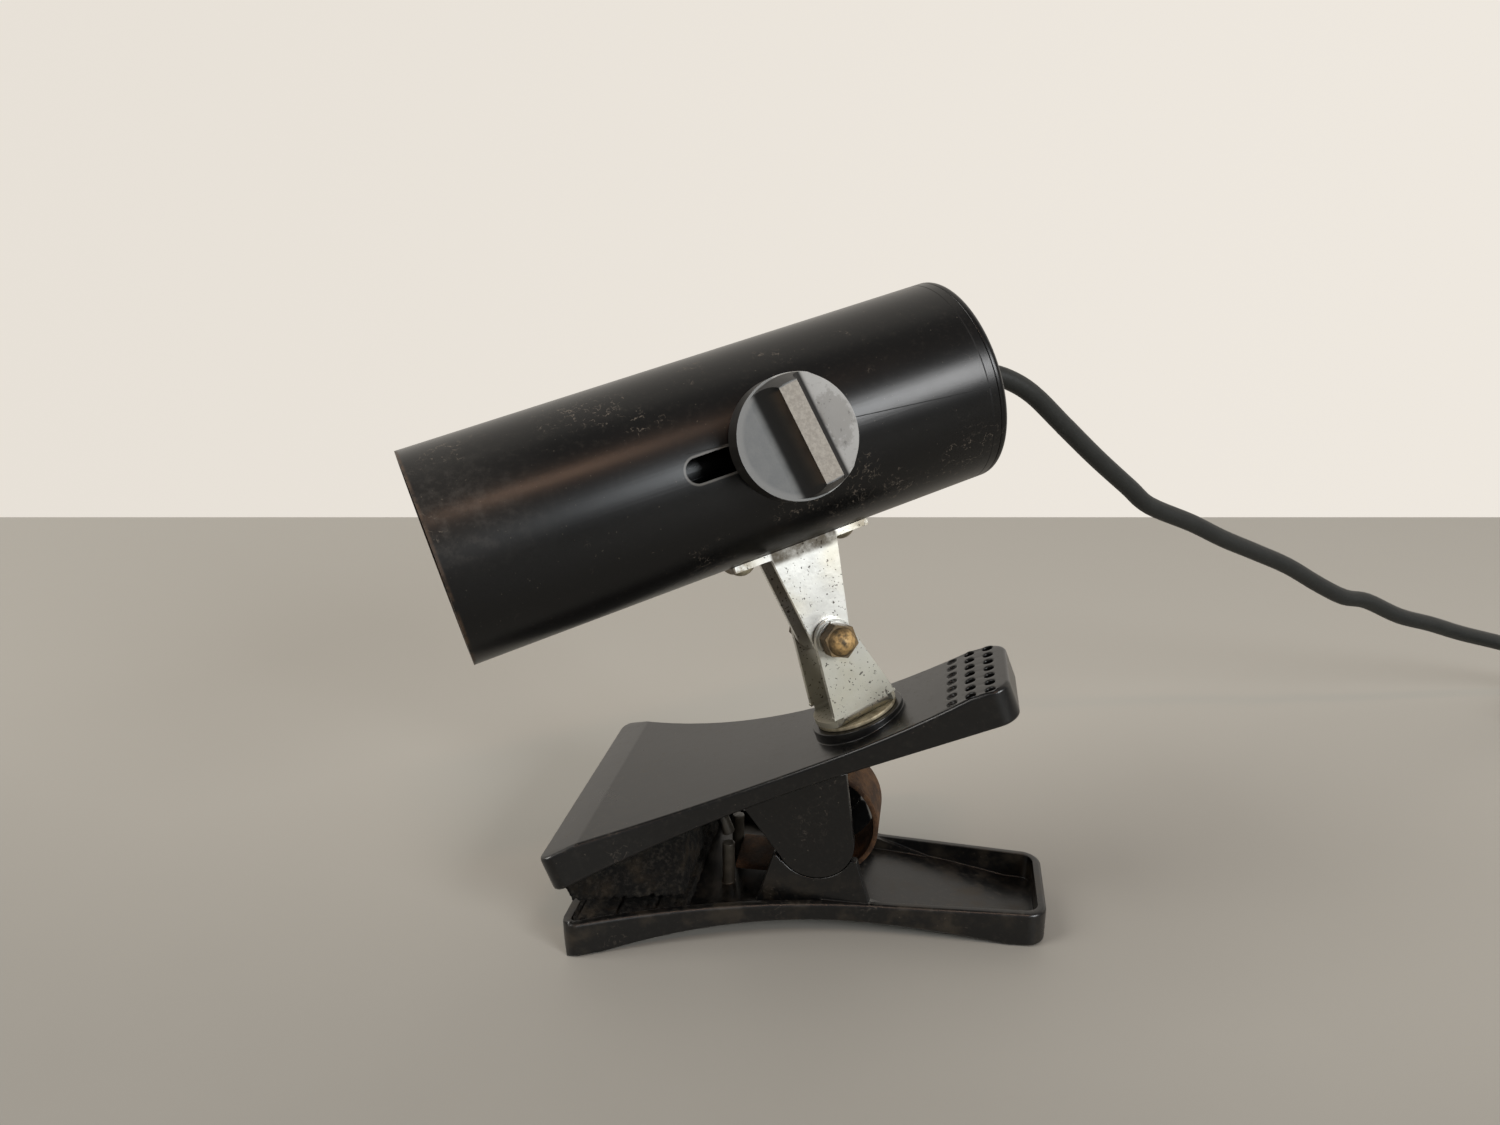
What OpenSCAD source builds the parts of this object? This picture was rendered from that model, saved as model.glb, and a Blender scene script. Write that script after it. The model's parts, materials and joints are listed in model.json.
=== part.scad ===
// Clamp spotlight: a tube shade on a tilting and swivelling bracket, carried by a sprung clamp.
// The clamp lies along X with its jaw towards -X, and Z is up from the surface it stands on.
// The origin is the middle of the flat land under the jaw end of the lower arm.

/* [Clamp arms] */
// Length of each arm, from the jaw tip to the handle end
arm_l = 107.8; // [103:0.2:114]
// Distance from the jaw tip to the fulcrum
fulcrum_l = 54.8; // [52:0.2:57]
// Width of the handle end
handle_w = 27; // [25:0.5:31]
// How much each side of the handle widens for each millimetre towards the waist
handle_taper = 0.07; // [0.05:0.01:0.09]
// Distance from the jaw tip to the waist, where the jaw starts to flare
waist_l = 68.8; // [65:0.2:72]
// Radius of the flared sides of the jaw
flare_r = 154; // [140:1:170]
// Height of the side walls above the chord of the outer face
wall_h = 8.5; // [7.8:0.1:9]
// Thickness of the side walls
wall_t = 2; // [1.6:0.1:2.4]
// Thickness of the bowed outer face
face_t = 2; // [1.6:0.1:2.4]
// How far the outer face is bowed inwards at its middle
bow = 4; // [3.4:0.1:4.4]
// Length of the flat land at each end of the outer face
land_l = 8.6; // [7:0.2:9.6]
// Corner radius of the jaw end in plan
jaw_corner = 2.6; // [2:0.1:3.4]
// Corner radius of the handle end in plan
handle_corner = 4.8; // [3.6:0.1:5.6]

/* [Fulcrum] */
// Height of the fulcrum above the chord of each arm
fulcrum_h = 23; // [22:0.25:24]
// Radius of the round ends of the upper cheeks
cheek_r = 9; // [8.5:0.25:9.5]
// Thickness of the cheeks
cheek_t = 2.5; // [2:0.1:3]
// Distance from the middle plane to the outer face of a cheek
cheek_y = 15.5; // [14.5:0.25:15.75]
// Angle between the arms when the jaw is shut
jaw_deg = 21.64; // [20:0.1:23]
// How far the jaw opens
open_deg = 34; // [28:1:36]
// Diameter of the round stop posts in front of the fulcrum
post_d = 3; // [2.4:0.1:3.4]
// Width of the spring strip
spring_w = 14; // [10:0.5:18]
// Thickness of the spring strip
spring_t = 1.2; // [0.8:0.1:1.4]
// Inner radius of the spring loop
spring_r = 12.7; // [12:0.1:13]

/* [Jaw pads] */
// Length of the pads along the jaw
pad_l = 26; // [24:0.2:28]
// Height above the table of the underside of the upper pad, half way along it
pad_z = 12.1; // [11.6:0.1:12.8]
// Slope of the pads, down towards the fulcrum
pad_deg = 3.7; // [2:0.1:5]
// Gap between the pads when the jaw is shut
pad_gap = 3.8; // [3:0.1:4.4]
// Pitch of the ribs across the pads
rib_pitch = 2; // [1.6:0.1:2.6]

/* [Shade] */
// Outer diameter of the tube shade
tube_d = 46; // [44:0.5:50]
// Length of the tube without its cap
tube_l = 120.5; // [116:0.5:126]
// Wall thickness of the tube
tube_t = 1.8; // [1.4:0.1:2.2]
// Thickness of the flange of the rear cap
cap_t = 2; // [1.6:0.1:3]
// Distance from the tilt pivot to the front edge of the tube, along the tube
tube_front = 74.4; // [72:0.2:77]
// Distance from the tilt pivot to the axis of the tube
axis_h = 44.9; // [44:0.1:48]
// Width of the focusing slot
slot_w = 5.2; // [4.8:0.1:6]
// Length of the focusing slot
slot_l = 28; // [26:0.5:31]
// Distance from the front edge of the tube to the slot
slot_front = 50; // [48:0.5:52]
// Angle of the slot above the side of the tube
slot_deg = 5; // [0:1:10]

/* [Focusing knob] */
// Diameter of the knob
knob_d = 25.2; // [23:0.2:28]
// Thickness of the knob's disc
knob_t = 6; // [5:0.25:7]
// Height of the grip bar above the disc
grip_h = 4.6; // [3.5:0.1:6]
// How far the ends of the grip bar slope in from the rim
grip_slope = 2.1; // [1:0.1:3]
// Width of the grip bar along its top
grip_w = 4; // [3:0.1:5]
// Distance from the front edge of the tube to the knob
knob_front = 72.1; // [70:0.1:73]
// Angle of the grip bar to the cross direction of the tube
knob_deg = 8.8; // [0:0.2:20]
// Diameter of the threaded stud
stud_d = 4; // [3.5:0.1:4.4]

/* [Lampholder] */
// Bore of the screw sleeve
lamp_d = 14; // [13.6:0.1:14.4]
// Outer diameter of the lampholder
holder_d = 24; // [22:0.5:26]
// Length of the lampholder
holder_l = 40; // [38:0.5:44]
// Length of the sliding ring that carries the lampholder
sleeve_l = 16; // [14:0.5:20]
// Number of ribs along the lampholder
holder_ribs = 30; // [24:1:36]

/* [Brackets] */
// Angle of the head about the swivel, from the line of the clamp
swivel_deg = 29.9; // [0:0.1:40]
// Angle of the tube to the upper arm
tilt_deg = -4.5; // [-8:0.1:4]
// Distance from the fulcrum to the swivel, along the upper arm
swivel_x = 16.8; // [15:0.1:18]
// Height of the tilt pivot above the chord of the upper arm
pivot_h = 19.8; // [19:0.1:21]
// How far the tilt pivot stands in front of the swivel
pivot_x = 1; // [0:0.1:2]
// Outside width of the swivel bracket
fork_w = 16; // [15:0.1:17]
// Sheet thickness of the swivel bracket
fork_t = 1.5; // [1.2:0.1:1.8]
// Sheet thickness of the head bracket
strap_t = 1.4; // [1.2:0.1:1.5]
// Radius of the round ends of both brackets
ear_r = 4.5; // [4.2:0.1:5.2]
// Diameter of the tilt bolt
bolt_d = 4; // [3.6:0.1:4.4]
// Width across the flats of the dome nut
nut_af = 7; // [6.4:0.1:7.6]
// Diameter of the swivel rivet
rivet_d = 5; // [4.5:0.1:6]

/* [Cord] */
// Diameter of the cord
cord_d = 4.8; // [4.6:0.1:5]

/* [Hidden] */

// Clearances: running fits of pins, curved faces of different bodies, and pieces laid in a seat
run_gap = 0.05;
free_gap = 0.3;
seat_gap = 0.1;
eps = 0.5;

// Arms, in a frame whose x is measured from the fulcrum and whose z is measured from the chord
fulcrum_x = fulcrum_l - land_l / 2;
bow_half = arm_l / 2 - land_l;
bow_r = (bow_half * bow_half + bow * bow) / (2 * bow);
function half_w(x) = handle_w / 2 + handle_taper * (arm_l - x)
    + (x < waist_l ? pow(waist_l - x, 2) / (2 * flare_r) : 0);
function bow_z(x) = bow - bow_r + sqrt(bow_r * bow_r - pow(x - arm_l / 2, 2));
function flare_deg(x) = atan(handle_taper + max(waist_l - x, 0) / flare_r);
side_steps = 14;
jaw_x = jaw_corner * (1 + sin(flare_deg(1.45 * jaw_corner)));
jaw_c = [jaw_corner, half_w(jaw_x) - jaw_corner * cos(flare_deg(jaw_x))];
handle_x = arm_l - handle_corner * (1 - sin(flare_deg(arm_l)));
handle_c = [arm_l - handle_corner, half_w(handle_x) - handle_corner * cos(flare_deg(arm_l))];
arm_side = [for (i = [1 : side_steps]) let(x = jaw_x + (waist_l - jaw_x) * i / side_steps) [x, half_w(x)]];
arm_half = concat(
    arc(jaw_c, jaw_corner, 180, 90 - flare_deg(jaw_x), 8), arm_side,
    arc(handle_c, handle_corner, 90 - flare_deg(arm_l), 0, 10)
);
arm_outline = concat(arm_half, [for (i = [len(arm_half) - 1 : -1 : 0]) [arm_half[i].x, -arm_half[i].y]]);

// Cheeks: the flanks of the upper cheek leave its round end at these tangent points
cheek_foot = 13;
cheek_drop = fulcrum_h - wall_h;
flank_a = acos(cheek_r / norm([cheek_foot, cheek_drop])) - atan2(cheek_drop, cheek_foot);
cradle_r = cheek_r + 3 * run_gap;
flank_half = 90 - flank_a;
front_a = -90 + jaw_deg - flank_half;
horn_z = fulcrum_h - 4;
horn_x = 9.6;
lower_foot = 14.2;
gusset_x = [12.8, 28];
nose_deg = 7;
post_x = -21.7;
post_y = 6.6;
post_z = [15.8, 19.2];
web_x = 11;
web_l = 3;
web_t = 2.4;
leg_z = fulcrum_h - spring_r - spring_t;
leg_l = 20;
dimple_rows = 3;
dimple_count = 7;
dimple_pitch = [4.4, 4];
dimple_d = 2.3;
dimple_end = 4.2;

// Swivel: the boss on the upper arm stands above the bowed face
boss_r = 11;
boss_top = -1.2;
boss_low = -6.6;
washer_t = 1;
fork_z = boss_top + washer_t;
fork_half = 7.8;
fork_end = 9.8;
fork_bend = 2.5;
fork_in = fork_w / 2 - fork_t;
strap_y = fork_in - 0.25;
tube_r = tube_d / 2;
tube_bore = tube_r - tube_t;
strap_r = tube_r + seat_gap;
strap_front = 16.5;
strap_rear = 15.9;
strap_top = [-8.3, 8.2];
rivet_x = [-13.2, 11.7];
nut_washer = 0.5;
bolt_r = bolt_d / 2;
swivel_r = rivet_d / 2;

// Tube, sleeve and lampholder, along the tube's axis from the tilt pivot
front_x = -tube_front;
rear_x = front_x + tube_l;
knob_x = front_x + knob_front;
slot_x = front_x + slot_front;
sleeve_r = tube_bore - free_gap - 0.1;
sleeve_t = 2;
groove_w = 7;
groove_t = 1.4;
sleeve_x = knob_x - sleeve_l / 2;
rib_h = 0.6;
web_at = knob_x + 4;
web_w = 3;
holder_r = holder_d / 2;
holder_x = web_at + web_w + 5 - holder_l;
liner_r = lamp_d / 2 + 1;
liner_l = 22;
cap_spigot = 8;
cap_wall = 1.8;
clip_w = 10;
clip_l = 6;
clip_in = 10;
clip_screw = 8;
bush_r = 5.4;
bush_out = 3;
cord_r = cord_d / 2;

// Route of the cord from the cap to the coil, chosen by hand
coil_at = [317.5, 118.4];
coil_in = 20;
coil_step = cord_d + 0.5;
coil_loops = 4;
coil_out = coil_in + coil_step * (coil_loops - 0.5);
coil_z = cord_r + 1.3;
route = [
    [82, 28.8, 124.4], [88, 32, 123], [95, 36.2, 118.8], [103.9, 43, 110], [113.2, 50, 100.8],
    [122.8, 57, 92], [129.5, 62, 86], [142.5, 70.5, 79.5], [152.5, 77, 73.8], [163.5, 84, 68.3],
    [174.5, 90.6, 62.7], [186, 97.3, 55.4], [195.2, 102.6, 50.3], [203.5, 107.6, 47.8], [216, 114.4, 41.3],
    [228, 121, 37], [240.5, 128, 32], [256.5, 136.4, 26.5], [271.5, 144, 21], [287.5, 151, 14.5],
    [302, 155.6, 7.5]
];

// Places the children of a clamp arm, of the swivel and of the head
module in_lower() {
    translate([fulcrum_x, 0, 0]) children();
}

module in_upper() {
    translate([fulcrum_x, 0, fulcrum_h]) rotate([0, -jaw_deg, 0]) mirror([0, 0, 1])
        translate([0, 0, -fulcrum_h]) children();
}

module in_swivel() {
    translate([fulcrum_x, 0, fulcrum_h]) rotate([0, -jaw_deg, 0])
        translate([swivel_x, 0, fulcrum_h]) rotate([0, 0, swivel_deg]) children();
}

module in_head() {
    in_swivel() translate([-pivot_x, 0, pivot_h]) rotate([0, -tilt_deg, 0]) children();
}

// Along the tube's axis: the children's z runs from the pivot to the rear of the tube
module on_axis() {
    in_head() translate([0, 0, axis_h]) rotate([0, 90, 0]) children();
}

// Out of the tube through the slot: the children's z runs outwards at the knob
module on_knob() {
    in_head() translate([knob_x, 0, axis_h]) rotate([90 - slot_deg, 0, 0]) children();
}

// A plate in the clamp's side view, of thickness t, centred on y
module side_plate(t, y = 0) {
    translate([0, y, 0]) rotate([90, 0, 0]) linear_extrude(t, center = true) children();
}

// Clamp arms
module arm_plan(inset) {
    offset(delta = -inset) polygon(arm_outline);
}

module bow_cylinder(r) {
    translate([arm_l / 2, 0, bow - bow_r]) rotate([90, 0, 0])
        cylinder(r = r, h = 4 * half_w(0), center = true, $fn = 360);
}

module arm_tray() {
    translate([-fulcrum_l, 0, 0]) difference() {
        linear_extrude(wall_h) arm_plan(0);
        bow_cylinder(bow_r);
        difference() {
            translate([0, 0, face_t]) linear_extrude(wall_h) arm_plan(wall_t);
            bow_cylinder(bow_r + face_t);
        }
    }
}

module cheeks() {
    for (s = [-1, 1]) side_plate(cheek_t, s * (cheek_y - cheek_t / 2)) children();
}

module lower_cheek() {
    tip = [(cradle_r + free_gap) * cos(front_a), fulcrum_h + (cradle_r + free_gap) * sin(front_a)];
    rise = (horn_z - tip.y) / -cos(front_a);
    top = tip + rise * [sin(front_a), -cos(front_a)];
    difference() {
        polygon([
            [-lower_foot, bow], [-horn_x, horn_z], top, tip, [0, fulcrum_h], [0, horn_z],
            [horn_x, horn_z], [gusset_x[0], wall_h], [gusset_x[1], bow], [lower_foot, bow - eps]
        ]);
        translate([0, fulcrum_h]) circle(r = cradle_r, $fn = 96);
    }
}

module upper_cheek() {
    tangent = 0.985 * cheek_r * [cos(flank_a), sin(flank_a)];
    polygon([
        [-cheek_foot, bow], [-cheek_foot, wall_h], [-tangent.x, fulcrum_h + tangent.y],
        [tangent.x, fulcrum_h + tangent.y], [cheek_foot, wall_h], [cheek_foot, bow]
    ]);
    translate([0, fulcrum_h]) circle(r = cheek_r, $fn = 96);
}

// The bar that the spring's leg bears on, and the stop posts in front of it
module spring_bar() {
    translate([-web_x, -cheek_y + eps, leg_z + spring_t + seat_gap])
        cube([web_l, 2 * (cheek_y - eps), web_t]);
}

module stop_posts(top) {
    base = bow_z(post_x + fulcrum_l) + face_t / 2;
    for (s = [-1, 1]) translate([post_x, s * post_y, base]) cylinder(d = post_d, h = top - base, $fn = 40);
}

// The front of the lower arm leans back towards its foot
module nose_relief() {
    translate([-fulcrum_l, -arm_l, wall_h]) rotate([0, -nose_deg, 0])
        translate([-arm_l, 0, -arm_l]) cube([arm_l, 2 * arm_l, 2 * arm_l]);
}

module lower_arm() {
    color("#1c1c1d") in_lower() difference() {
        union() {
            arm_tray();
            cheeks() lower_cheek();
            spring_bar();
            stop_posts(post_z[0]);
        }
        nose_relief();
    }
}

module grip_dimples() {
    for (i = [0 : dimple_rows - 1], j = [0 : dimple_count - 1])
        translate([
            arm_l - fulcrum_l - dimple_end - i * dimple_pitch[0],
            (j - (dimple_count - 1) / 2) * dimple_pitch[1],
            -eps
        ]) cylinder(d = dimple_d, h = eps + face_t * 0.6, $fn = 24);
}

// The faces of the pads slope a little: the children lie on such a face, whose middle is at height z
module on_pad(z) {
    translate([(pad_l - land_l) / 2, 0, z]) rotate([0, pad_deg, 0]) children();
}

module above_pad(z) {
    on_pad(z) translate([-arm_l, -arm_l, 0]) cube(2 * arm_l);
}

module upper_arm() {
    color("#1c1c1d") in_upper() difference() {
        union() {
            arm_tray();
            cheeks() upper_cheek();
            spring_bar();
            stop_posts(post_z[1]);
            translate([swivel_x, 0, -boss_top]) cylinder(r = boss_r, h = bow, $fn = 72);
            translate([swivel_x, 0, bow]) cylinder(r = 6, h = -boss_low - bow, $fn = 72);
        }
        grip_dimples();
        translate([swivel_x, 0, -eps]) cylinder(r = swivel_r + run_gap, h = 2 * wall_h, $fn = 48);
    }
}

// Jaw pads: ribbed foam rubber between the walls of each jaw, a wedge in the upper one
module pad_plan(inset) {
    intersection() {
        arm_plan(inset);
        translate([0, -arm_l]) square([pad_l, 2 * arm_l]);
    }
}

module pad_ribs(z) {
    count = ceil(pad_l / rib_pitch);
    on_pad(z) for (i = [-count : count]) translate([i * rib_pitch, 0, 0])
        cube([rib_pitch * 0.4, 2 * arm_l, 1.6], center = true);
}

module lower_jaw_pad() {
    color("#4a453e") difference() {
        in_lower() translate([-fulcrum_l, 0, 0]) difference() {
            translate([0, 0, face_t + seat_gap]) linear_extrude(2 * pad_z) pad_plan(wall_t + 2 * seat_gap);
            bow_cylinder(bow_r + face_t + seat_gap);
        }
        above_pad(pad_z - pad_gap);
        pad_ribs(pad_z - pad_gap);
    }
}

module upper_jaw_pad() {
    color("#4a453e") difference() {
        intersection() {
            in_upper() translate([-fulcrum_l, 0, face_t + seat_gap])
                linear_extrude(fulcrum_h) arm_plan(wall_t + 2 * seat_gap);
            above_pad(pad_z);
            translate([pad_l - land_l / 2 - 2 * arm_l, -arm_l, 0]) cube(2 * arm_l);
        }
        in_upper() translate([-fulcrum_l, 0, 0]) bow_cylinder(bow_r + face_t + seat_gap);
        pad_ribs(pad_z);
    }
}

// Clamp spring: a bent strip whose loop runs round the fulcrum behind the cheeks
module spring_leg() {
    side_plate(spring_w) translate([-leg_l, leg_z]) square([leg_l, spring_t]);
}

module clamp_spring() {
    color("#5b4030") {
        in_lower() spring_leg();
        in_upper() spring_leg();
        translate([fulcrum_x, 0, fulcrum_h]) side_plate(spring_w) difference() {
            circle(r = spring_r + spring_t, $fn = 128);
            circle(r = spring_r, $fn = 128);
            polygon(2 * spring_r * [
                [0, 0], [0, -1], [-1, -1], [-1, 1],
                [-sin(jaw_deg) - cos(jaw_deg), cos(jaw_deg) - sin(jaw_deg)], [-sin(jaw_deg), cos(jaw_deg)]
            ]);
        }
    }
}

// Swivel: a rivet in the upper arm on which the fork turns
module swivel_rivet() {
    color("#b9b7ae") in_swivel() {
        translate([0, 0, boss_low - seat_gap])
            cylinder(r = swivel_r, h = fork_z + fork_t + 2 * seat_gap - boss_low, $fn = 48);
        translate([0, 0, fork_z + fork_t + seat_gap]) rotate_extrude($fn = 48) intersection() {
            translate([0, -4.6]) circle(r = 6.4, $fn = 96);
            square([6, 6]);
        }
        translate([0, 0, boss_low - seat_gap - 1.3]) cylinder(r = 4.2, h = 1.3, $fn = 48);
    }
}

module swivel_washer() {
    color("#b9b7ae") in_swivel() translate([0, 0, boss_top + seat_gap / 2]) difference() {
        cylinder(r = fork_end - 0.2, h = washer_t - seat_gap, $fn = 64);
        translate([0, 0, -eps]) cylinder(r = swivel_r + run_gap, h = washer_t + 2 * eps, $fn = 48);
    }
}

// Fork: sheet steel bent to a U, with a round-ended base and tapered cheeks
function arc(c, r, a0, a1, n = 6) = [
    for (i = [0 : n]) let(a = a0 + (a1 - a0) * i / n) c + r * [cos(a), sin(a)]
];

function half_u(w, bend, low) = arc([w - bend, low + bend], bend, -90, 0);

module u_section() {
    high = pivot_h + 2 * ear_r;
    outer = half_u(fork_w / 2, fork_bend, fork_z);
    inner = half_u(fork_in, fork_bend - fork_t, fork_z + fork_t);
    back = [for (i = [len(inner) - 1 : -1 : 0]) inner[i]];
    right = concat(outer, [[fork_w / 2, high], [fork_in, high]], back);
    polygon(concat(right, [for (i = [len(right) - 1 : -1 : 0]) [-right[i].x, right[i].y]]));
}

module fork_side() {
    polygon(concat(
        [[-fork_end, fork_z - eps], [fork_end, fork_z - eps], [fork_end, fork_z + fork_bend]],
        [[fork_half, fork_z + fork_bend + 0.6]],
        arc([-pivot_x, pivot_h], ear_r, 8, 172, 20),
        [[-fork_half, fork_z + fork_bend + 0.6], [-fork_end, fork_z + fork_bend]]
    ));
}

module swivel_bracket() {
    color("#c3c1b8") in_swivel() difference() {
        intersection() {
            rotate([90, 0, 90]) linear_extrude(2 * fork_end + 2, center = true) u_section();
            side_plate(2 * fork_w) fork_side();
            union() {
                translate([0, 0, fork_z - eps]) cylinder(r = fork_end, h = fork_bend + 2 * eps, $fn = 72);
                translate([-fork_half - 0.2, -fork_w, fork_z + fork_bend])
                    cube([2 * fork_half + 0.4, 2 * fork_w, 3 * pivot_h]);
            }
        }
        translate([0, 0, fork_z - 2 * eps]) cylinder(r = swivel_r + run_gap, h = 4 * fork_t, $fn = 48);
        translate([-pivot_x, 0, pivot_h]) rotate([90, 0, 0])
            cylinder(r = bolt_r + run_gap, h = 2 * fork_w, center = true, $fn = 48);
    }
}

// Tilt joint: a bolt across the fork, a dome nut on its near end and washers under both
module across_pivot(y) {
    in_swivel() translate([-pivot_x, y, pivot_h]) rotate([90, 0, 0]) children();
}

module pivot_bolt() {
    far = fork_w / 2 + nut_washer + seat_gap;
    near = fork_w / 2 + nut_washer + 4;
    color("#8f8470") {
        across_pivot(far) cylinder(r = bolt_r, h = far + near, $fn = 48);
        across_pivot(far + 3) cylinder(d = nut_af / cos(30), h = 3, $fn = 6);
    }
}

module dome_nut() {
    deep = 4 + seat_gap;
    color("#8c7853") across_pivot(-fork_w / 2 - nut_washer - seat_gap) difference() {
        union() {
            rotate(30) cylinder(d = nut_af / cos(30), h = 3.6, $fn = 6);
            intersection() {
                translate([0, 0, 2.6]) sphere(d = nut_af * 0.96, $fn = 64);
                cylinder(d = nut_af, h = nut_af, $fn = 64);
            }
        }
        translate([0, 0, -eps]) cylinder(r = bolt_r + run_gap, h = deep + eps, $fn = 48);
    }
}

module pivot_washers() {
    color("#b9b7ae") for (y = [-fork_w / 2 - seat_gap / 2, fork_w / 2 + nut_washer + seat_gap / 2])
        across_pivot(y) difference() {
            cylinder(d = nut_af + 1, h = nut_washer, $fn = 48);
            translate([0, 0, -eps]) cylinder(r = bolt_r + run_gap, h = nut_washer + 2 * eps, $fn = 48);
        }
}

// Head bracket: a strap riveted along the tube with two cheeks bent down to the pivot
module strap_side() {
    polygon(concat(
        [[strap_top[0], axis_h - tube_r + 1], [-ear_r, 0]],
        arc([0, 0], ear_r, 180, 360, 20),
        [[ear_r, 0], [strap_top[1], axis_h - tube_r + 1]]
    ));
}

module strap_bar(x0, x1, half) {
    intersection() {
        translate([0, 0, axis_h]) rotate([0, 90, 0]) difference() {
            cylinder(r = strap_r + strap_t, h = 4 * strap_front, center = true, $fn = 128);
            cylinder(r = strap_r, h = 5 * strap_front, center = true, $fn = 128);
        }
        translate([x0, -half, 0]) cube([x1 - x0, 2 * half, axis_h]);
    }
}

module head_bracket() {
    color("#c9c7be") in_head() difference() {
        union() {
            strap_bar(-strap_front, strap_rear, strap_y);
            difference() {
                for (s = [-1, 1]) side_plate(strap_t, s * (strap_y - strap_t / 2)) strap_side();
                translate([0, 0, axis_h]) rotate([0, 90, 0])
                    cylinder(r = strap_r + strap_t / 2, h = 4 * strap_front, center = true, $fn = 128);
            }
        }
        rotate([90, 0, 0]) cylinder(r = bolt_r + run_gap, h = 4 * strap_y, center = true, $fn = 48);
        for (x = rivet_x) translate([x, 0, 0]) cylinder(d = 3.2 + 2 * run_gap, h = axis_h, $fn = 32);
    }
}

module bracket_rivets() {
    low = axis_h - strap_r - strap_t - seat_gap;
    color("#b5b2a8") in_head() for (x = rivet_x) translate([x, 0, 0]) {
        translate([0, 0, low]) cylinder(d = 3.2, h = strap_t + tube_t + 4 * seat_gap, $fn = 32);
        translate([0, 0, low + seat_gap]) rotate([180, 0, 0]) rotate_extrude($fn = 40) intersection() {
            translate([0, -1.9]) circle(r = 3.4, $fn = 80);
            square([4, 4]);
        }
        translate([0, 0, axis_h - tube_bore + seat_gap * 2]) cylinder(d = 5, h = 0.8, $fn = 32);
    }
}

// Shade: a plain tube, open in front, with the focusing slot in its near side
module slot_cut() {
    low = tube_bore - 3;
    for (x = [slot_x + slot_w / 2, slot_x + slot_l - slot_w / 2])
        translate([x - knob_x, 0, low]) cylinder(d = slot_w, h = tube_d, $fn = 48);
    translate([slot_x + slot_w / 2 - knob_x, -slot_w / 2, low]) cube([slot_l - slot_w, slot_w, tube_d]);
}

module shade_tube() {
    color("#161617") difference() {
        on_axis() translate([0, 0, front_x]) difference() {
            cylinder(r = tube_r, h = tube_l, $fn = 160);
            translate([0, 0, -eps]) cylinder(r = tube_bore, h = tube_l + 2 * eps, $fn = 160);
        }
        on_knob() slot_cut();
        in_head() for (x = rivet_x)
            translate([x, 0, 0]) cylinder(d = 3.2 + 2 * run_gap, h = axis_h, $fn = 32);
    }
}

// Rear cap: a turned shape with a rounded rim, a spigot in the tube and a hub for the cord bush
module rear_cap() {
    rim = cap_t * 0.7;
    color("#161617") on_axis() translate([0, 0, rear_x + seat_gap]) rotate_extrude($fn = 160) {
        difference() {
            translate([bush_r, 0]) square([tube_r - bush_r, cap_t]);
            translate([tube_r - rim, cap_t - rim]) difference() {
                square(2 * rim);
                circle(r = rim, $fn = 64);
            }
        }
        translate([tube_bore - seat_gap - cap_wall, -cap_spigot]) square([cap_wall, cap_spigot + eps]);
        translate([bush_r, -4]) square([2, 4 + eps]);
    }
}

// Cord bush: a tapered rubber sleeve held in the hub of the cap
module cord_bush() {
    inner = cord_r + seat_gap / 2;
    color("#202021") on_axis() translate([0, 0, rear_x + seat_gap]) rotate_extrude($fn = 64) polygon([
        [inner, -6], [bush_r + 1.6, -6], [bush_r + 1.6, -4 - seat_gap], [bush_r - seat_gap, -4 - seat_gap],
        [bush_r - seat_gap, cap_t + seat_gap], [bush_r + 1, cap_t + seat_gap], [bush_r + 1, cap_t + 1.6],
        [cord_r + 1, cap_t + bush_out], [inner, cap_t + bush_out]
    ]);
}

// Cord grip: a block and two screws that hold the end of the cord inside the cap
module cord_grip() {
    color("#3a3a3a") on_axis() translate([0, 0, rear_x - clip_in]) difference() {
        intersection() {
            cube([clip_w, 2 * tube_bore, clip_l], center = true);
            cylinder(r = tube_bore - cap_wall - 4 * seat_gap, h = clip_l, center = true, $fn = 96);
        }
        cylinder(r = cord_r + seat_gap / 2, h = 2 * clip_l, center = true, $fn = 48);
        for (s = [-1, 1]) translate([0, s * clip_screw, 0]) rotate([0, 90, 0])
            cylinder(d = 3.2, h = 2 * clip_w, center = true, $fn = 32);
    }
}

module grip_screws() {
    color("#b9b7ae") on_axis() translate([0, 0, rear_x - clip_in]) for (s = [-1, 1])
        translate([-clip_w / 2, s * clip_screw, 0]) rotate([0, 90, 0]) {
            cylinder(d = 3, h = clip_w + seat_gap, $fn = 32);
            translate([0, 0, clip_w + seat_gap]) cylinder(d = 5.4, h = 2, $fn = 32);
        }
}

// Lampholder on a ring that slides in the tube, with a groove that passes the rivets
module holder_sleeve() {
    inner = sleeve_r - sleeve_t;
    color("#2b2b2c") difference() {
        on_axis() {
            translate([0, 0, sleeve_x]) difference() {
                cylinder(r = sleeve_r, h = sleeve_l, $fn = 160);
                translate([0, 0, -eps]) cylinder(r = inner, h = sleeve_l + 2 * eps, $fn = 160);
            }
            translate([0, 0, web_at]) difference() {
                cylinder(r = inner + sleeve_t / 2, h = web_w, $fn = 120);
                translate([0, 0, -eps]) cylinder(r = holder_r + run_gap, h = web_w + 2 * eps, $fn = 96);
            }
        }
        on_knob() translate([0, 0, tube_bore / 2]) cylinder(r = stud_d / 2 + 0.15, h = tube_r, $fn = 40);
        in_head() translate([sleeve_x - eps, -groove_w / 2, axis_h - tube_r])
            cube([sleeve_l + 2 * eps, groove_w, tube_r - sleeve_r + groove_t]);
    }
}

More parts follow.
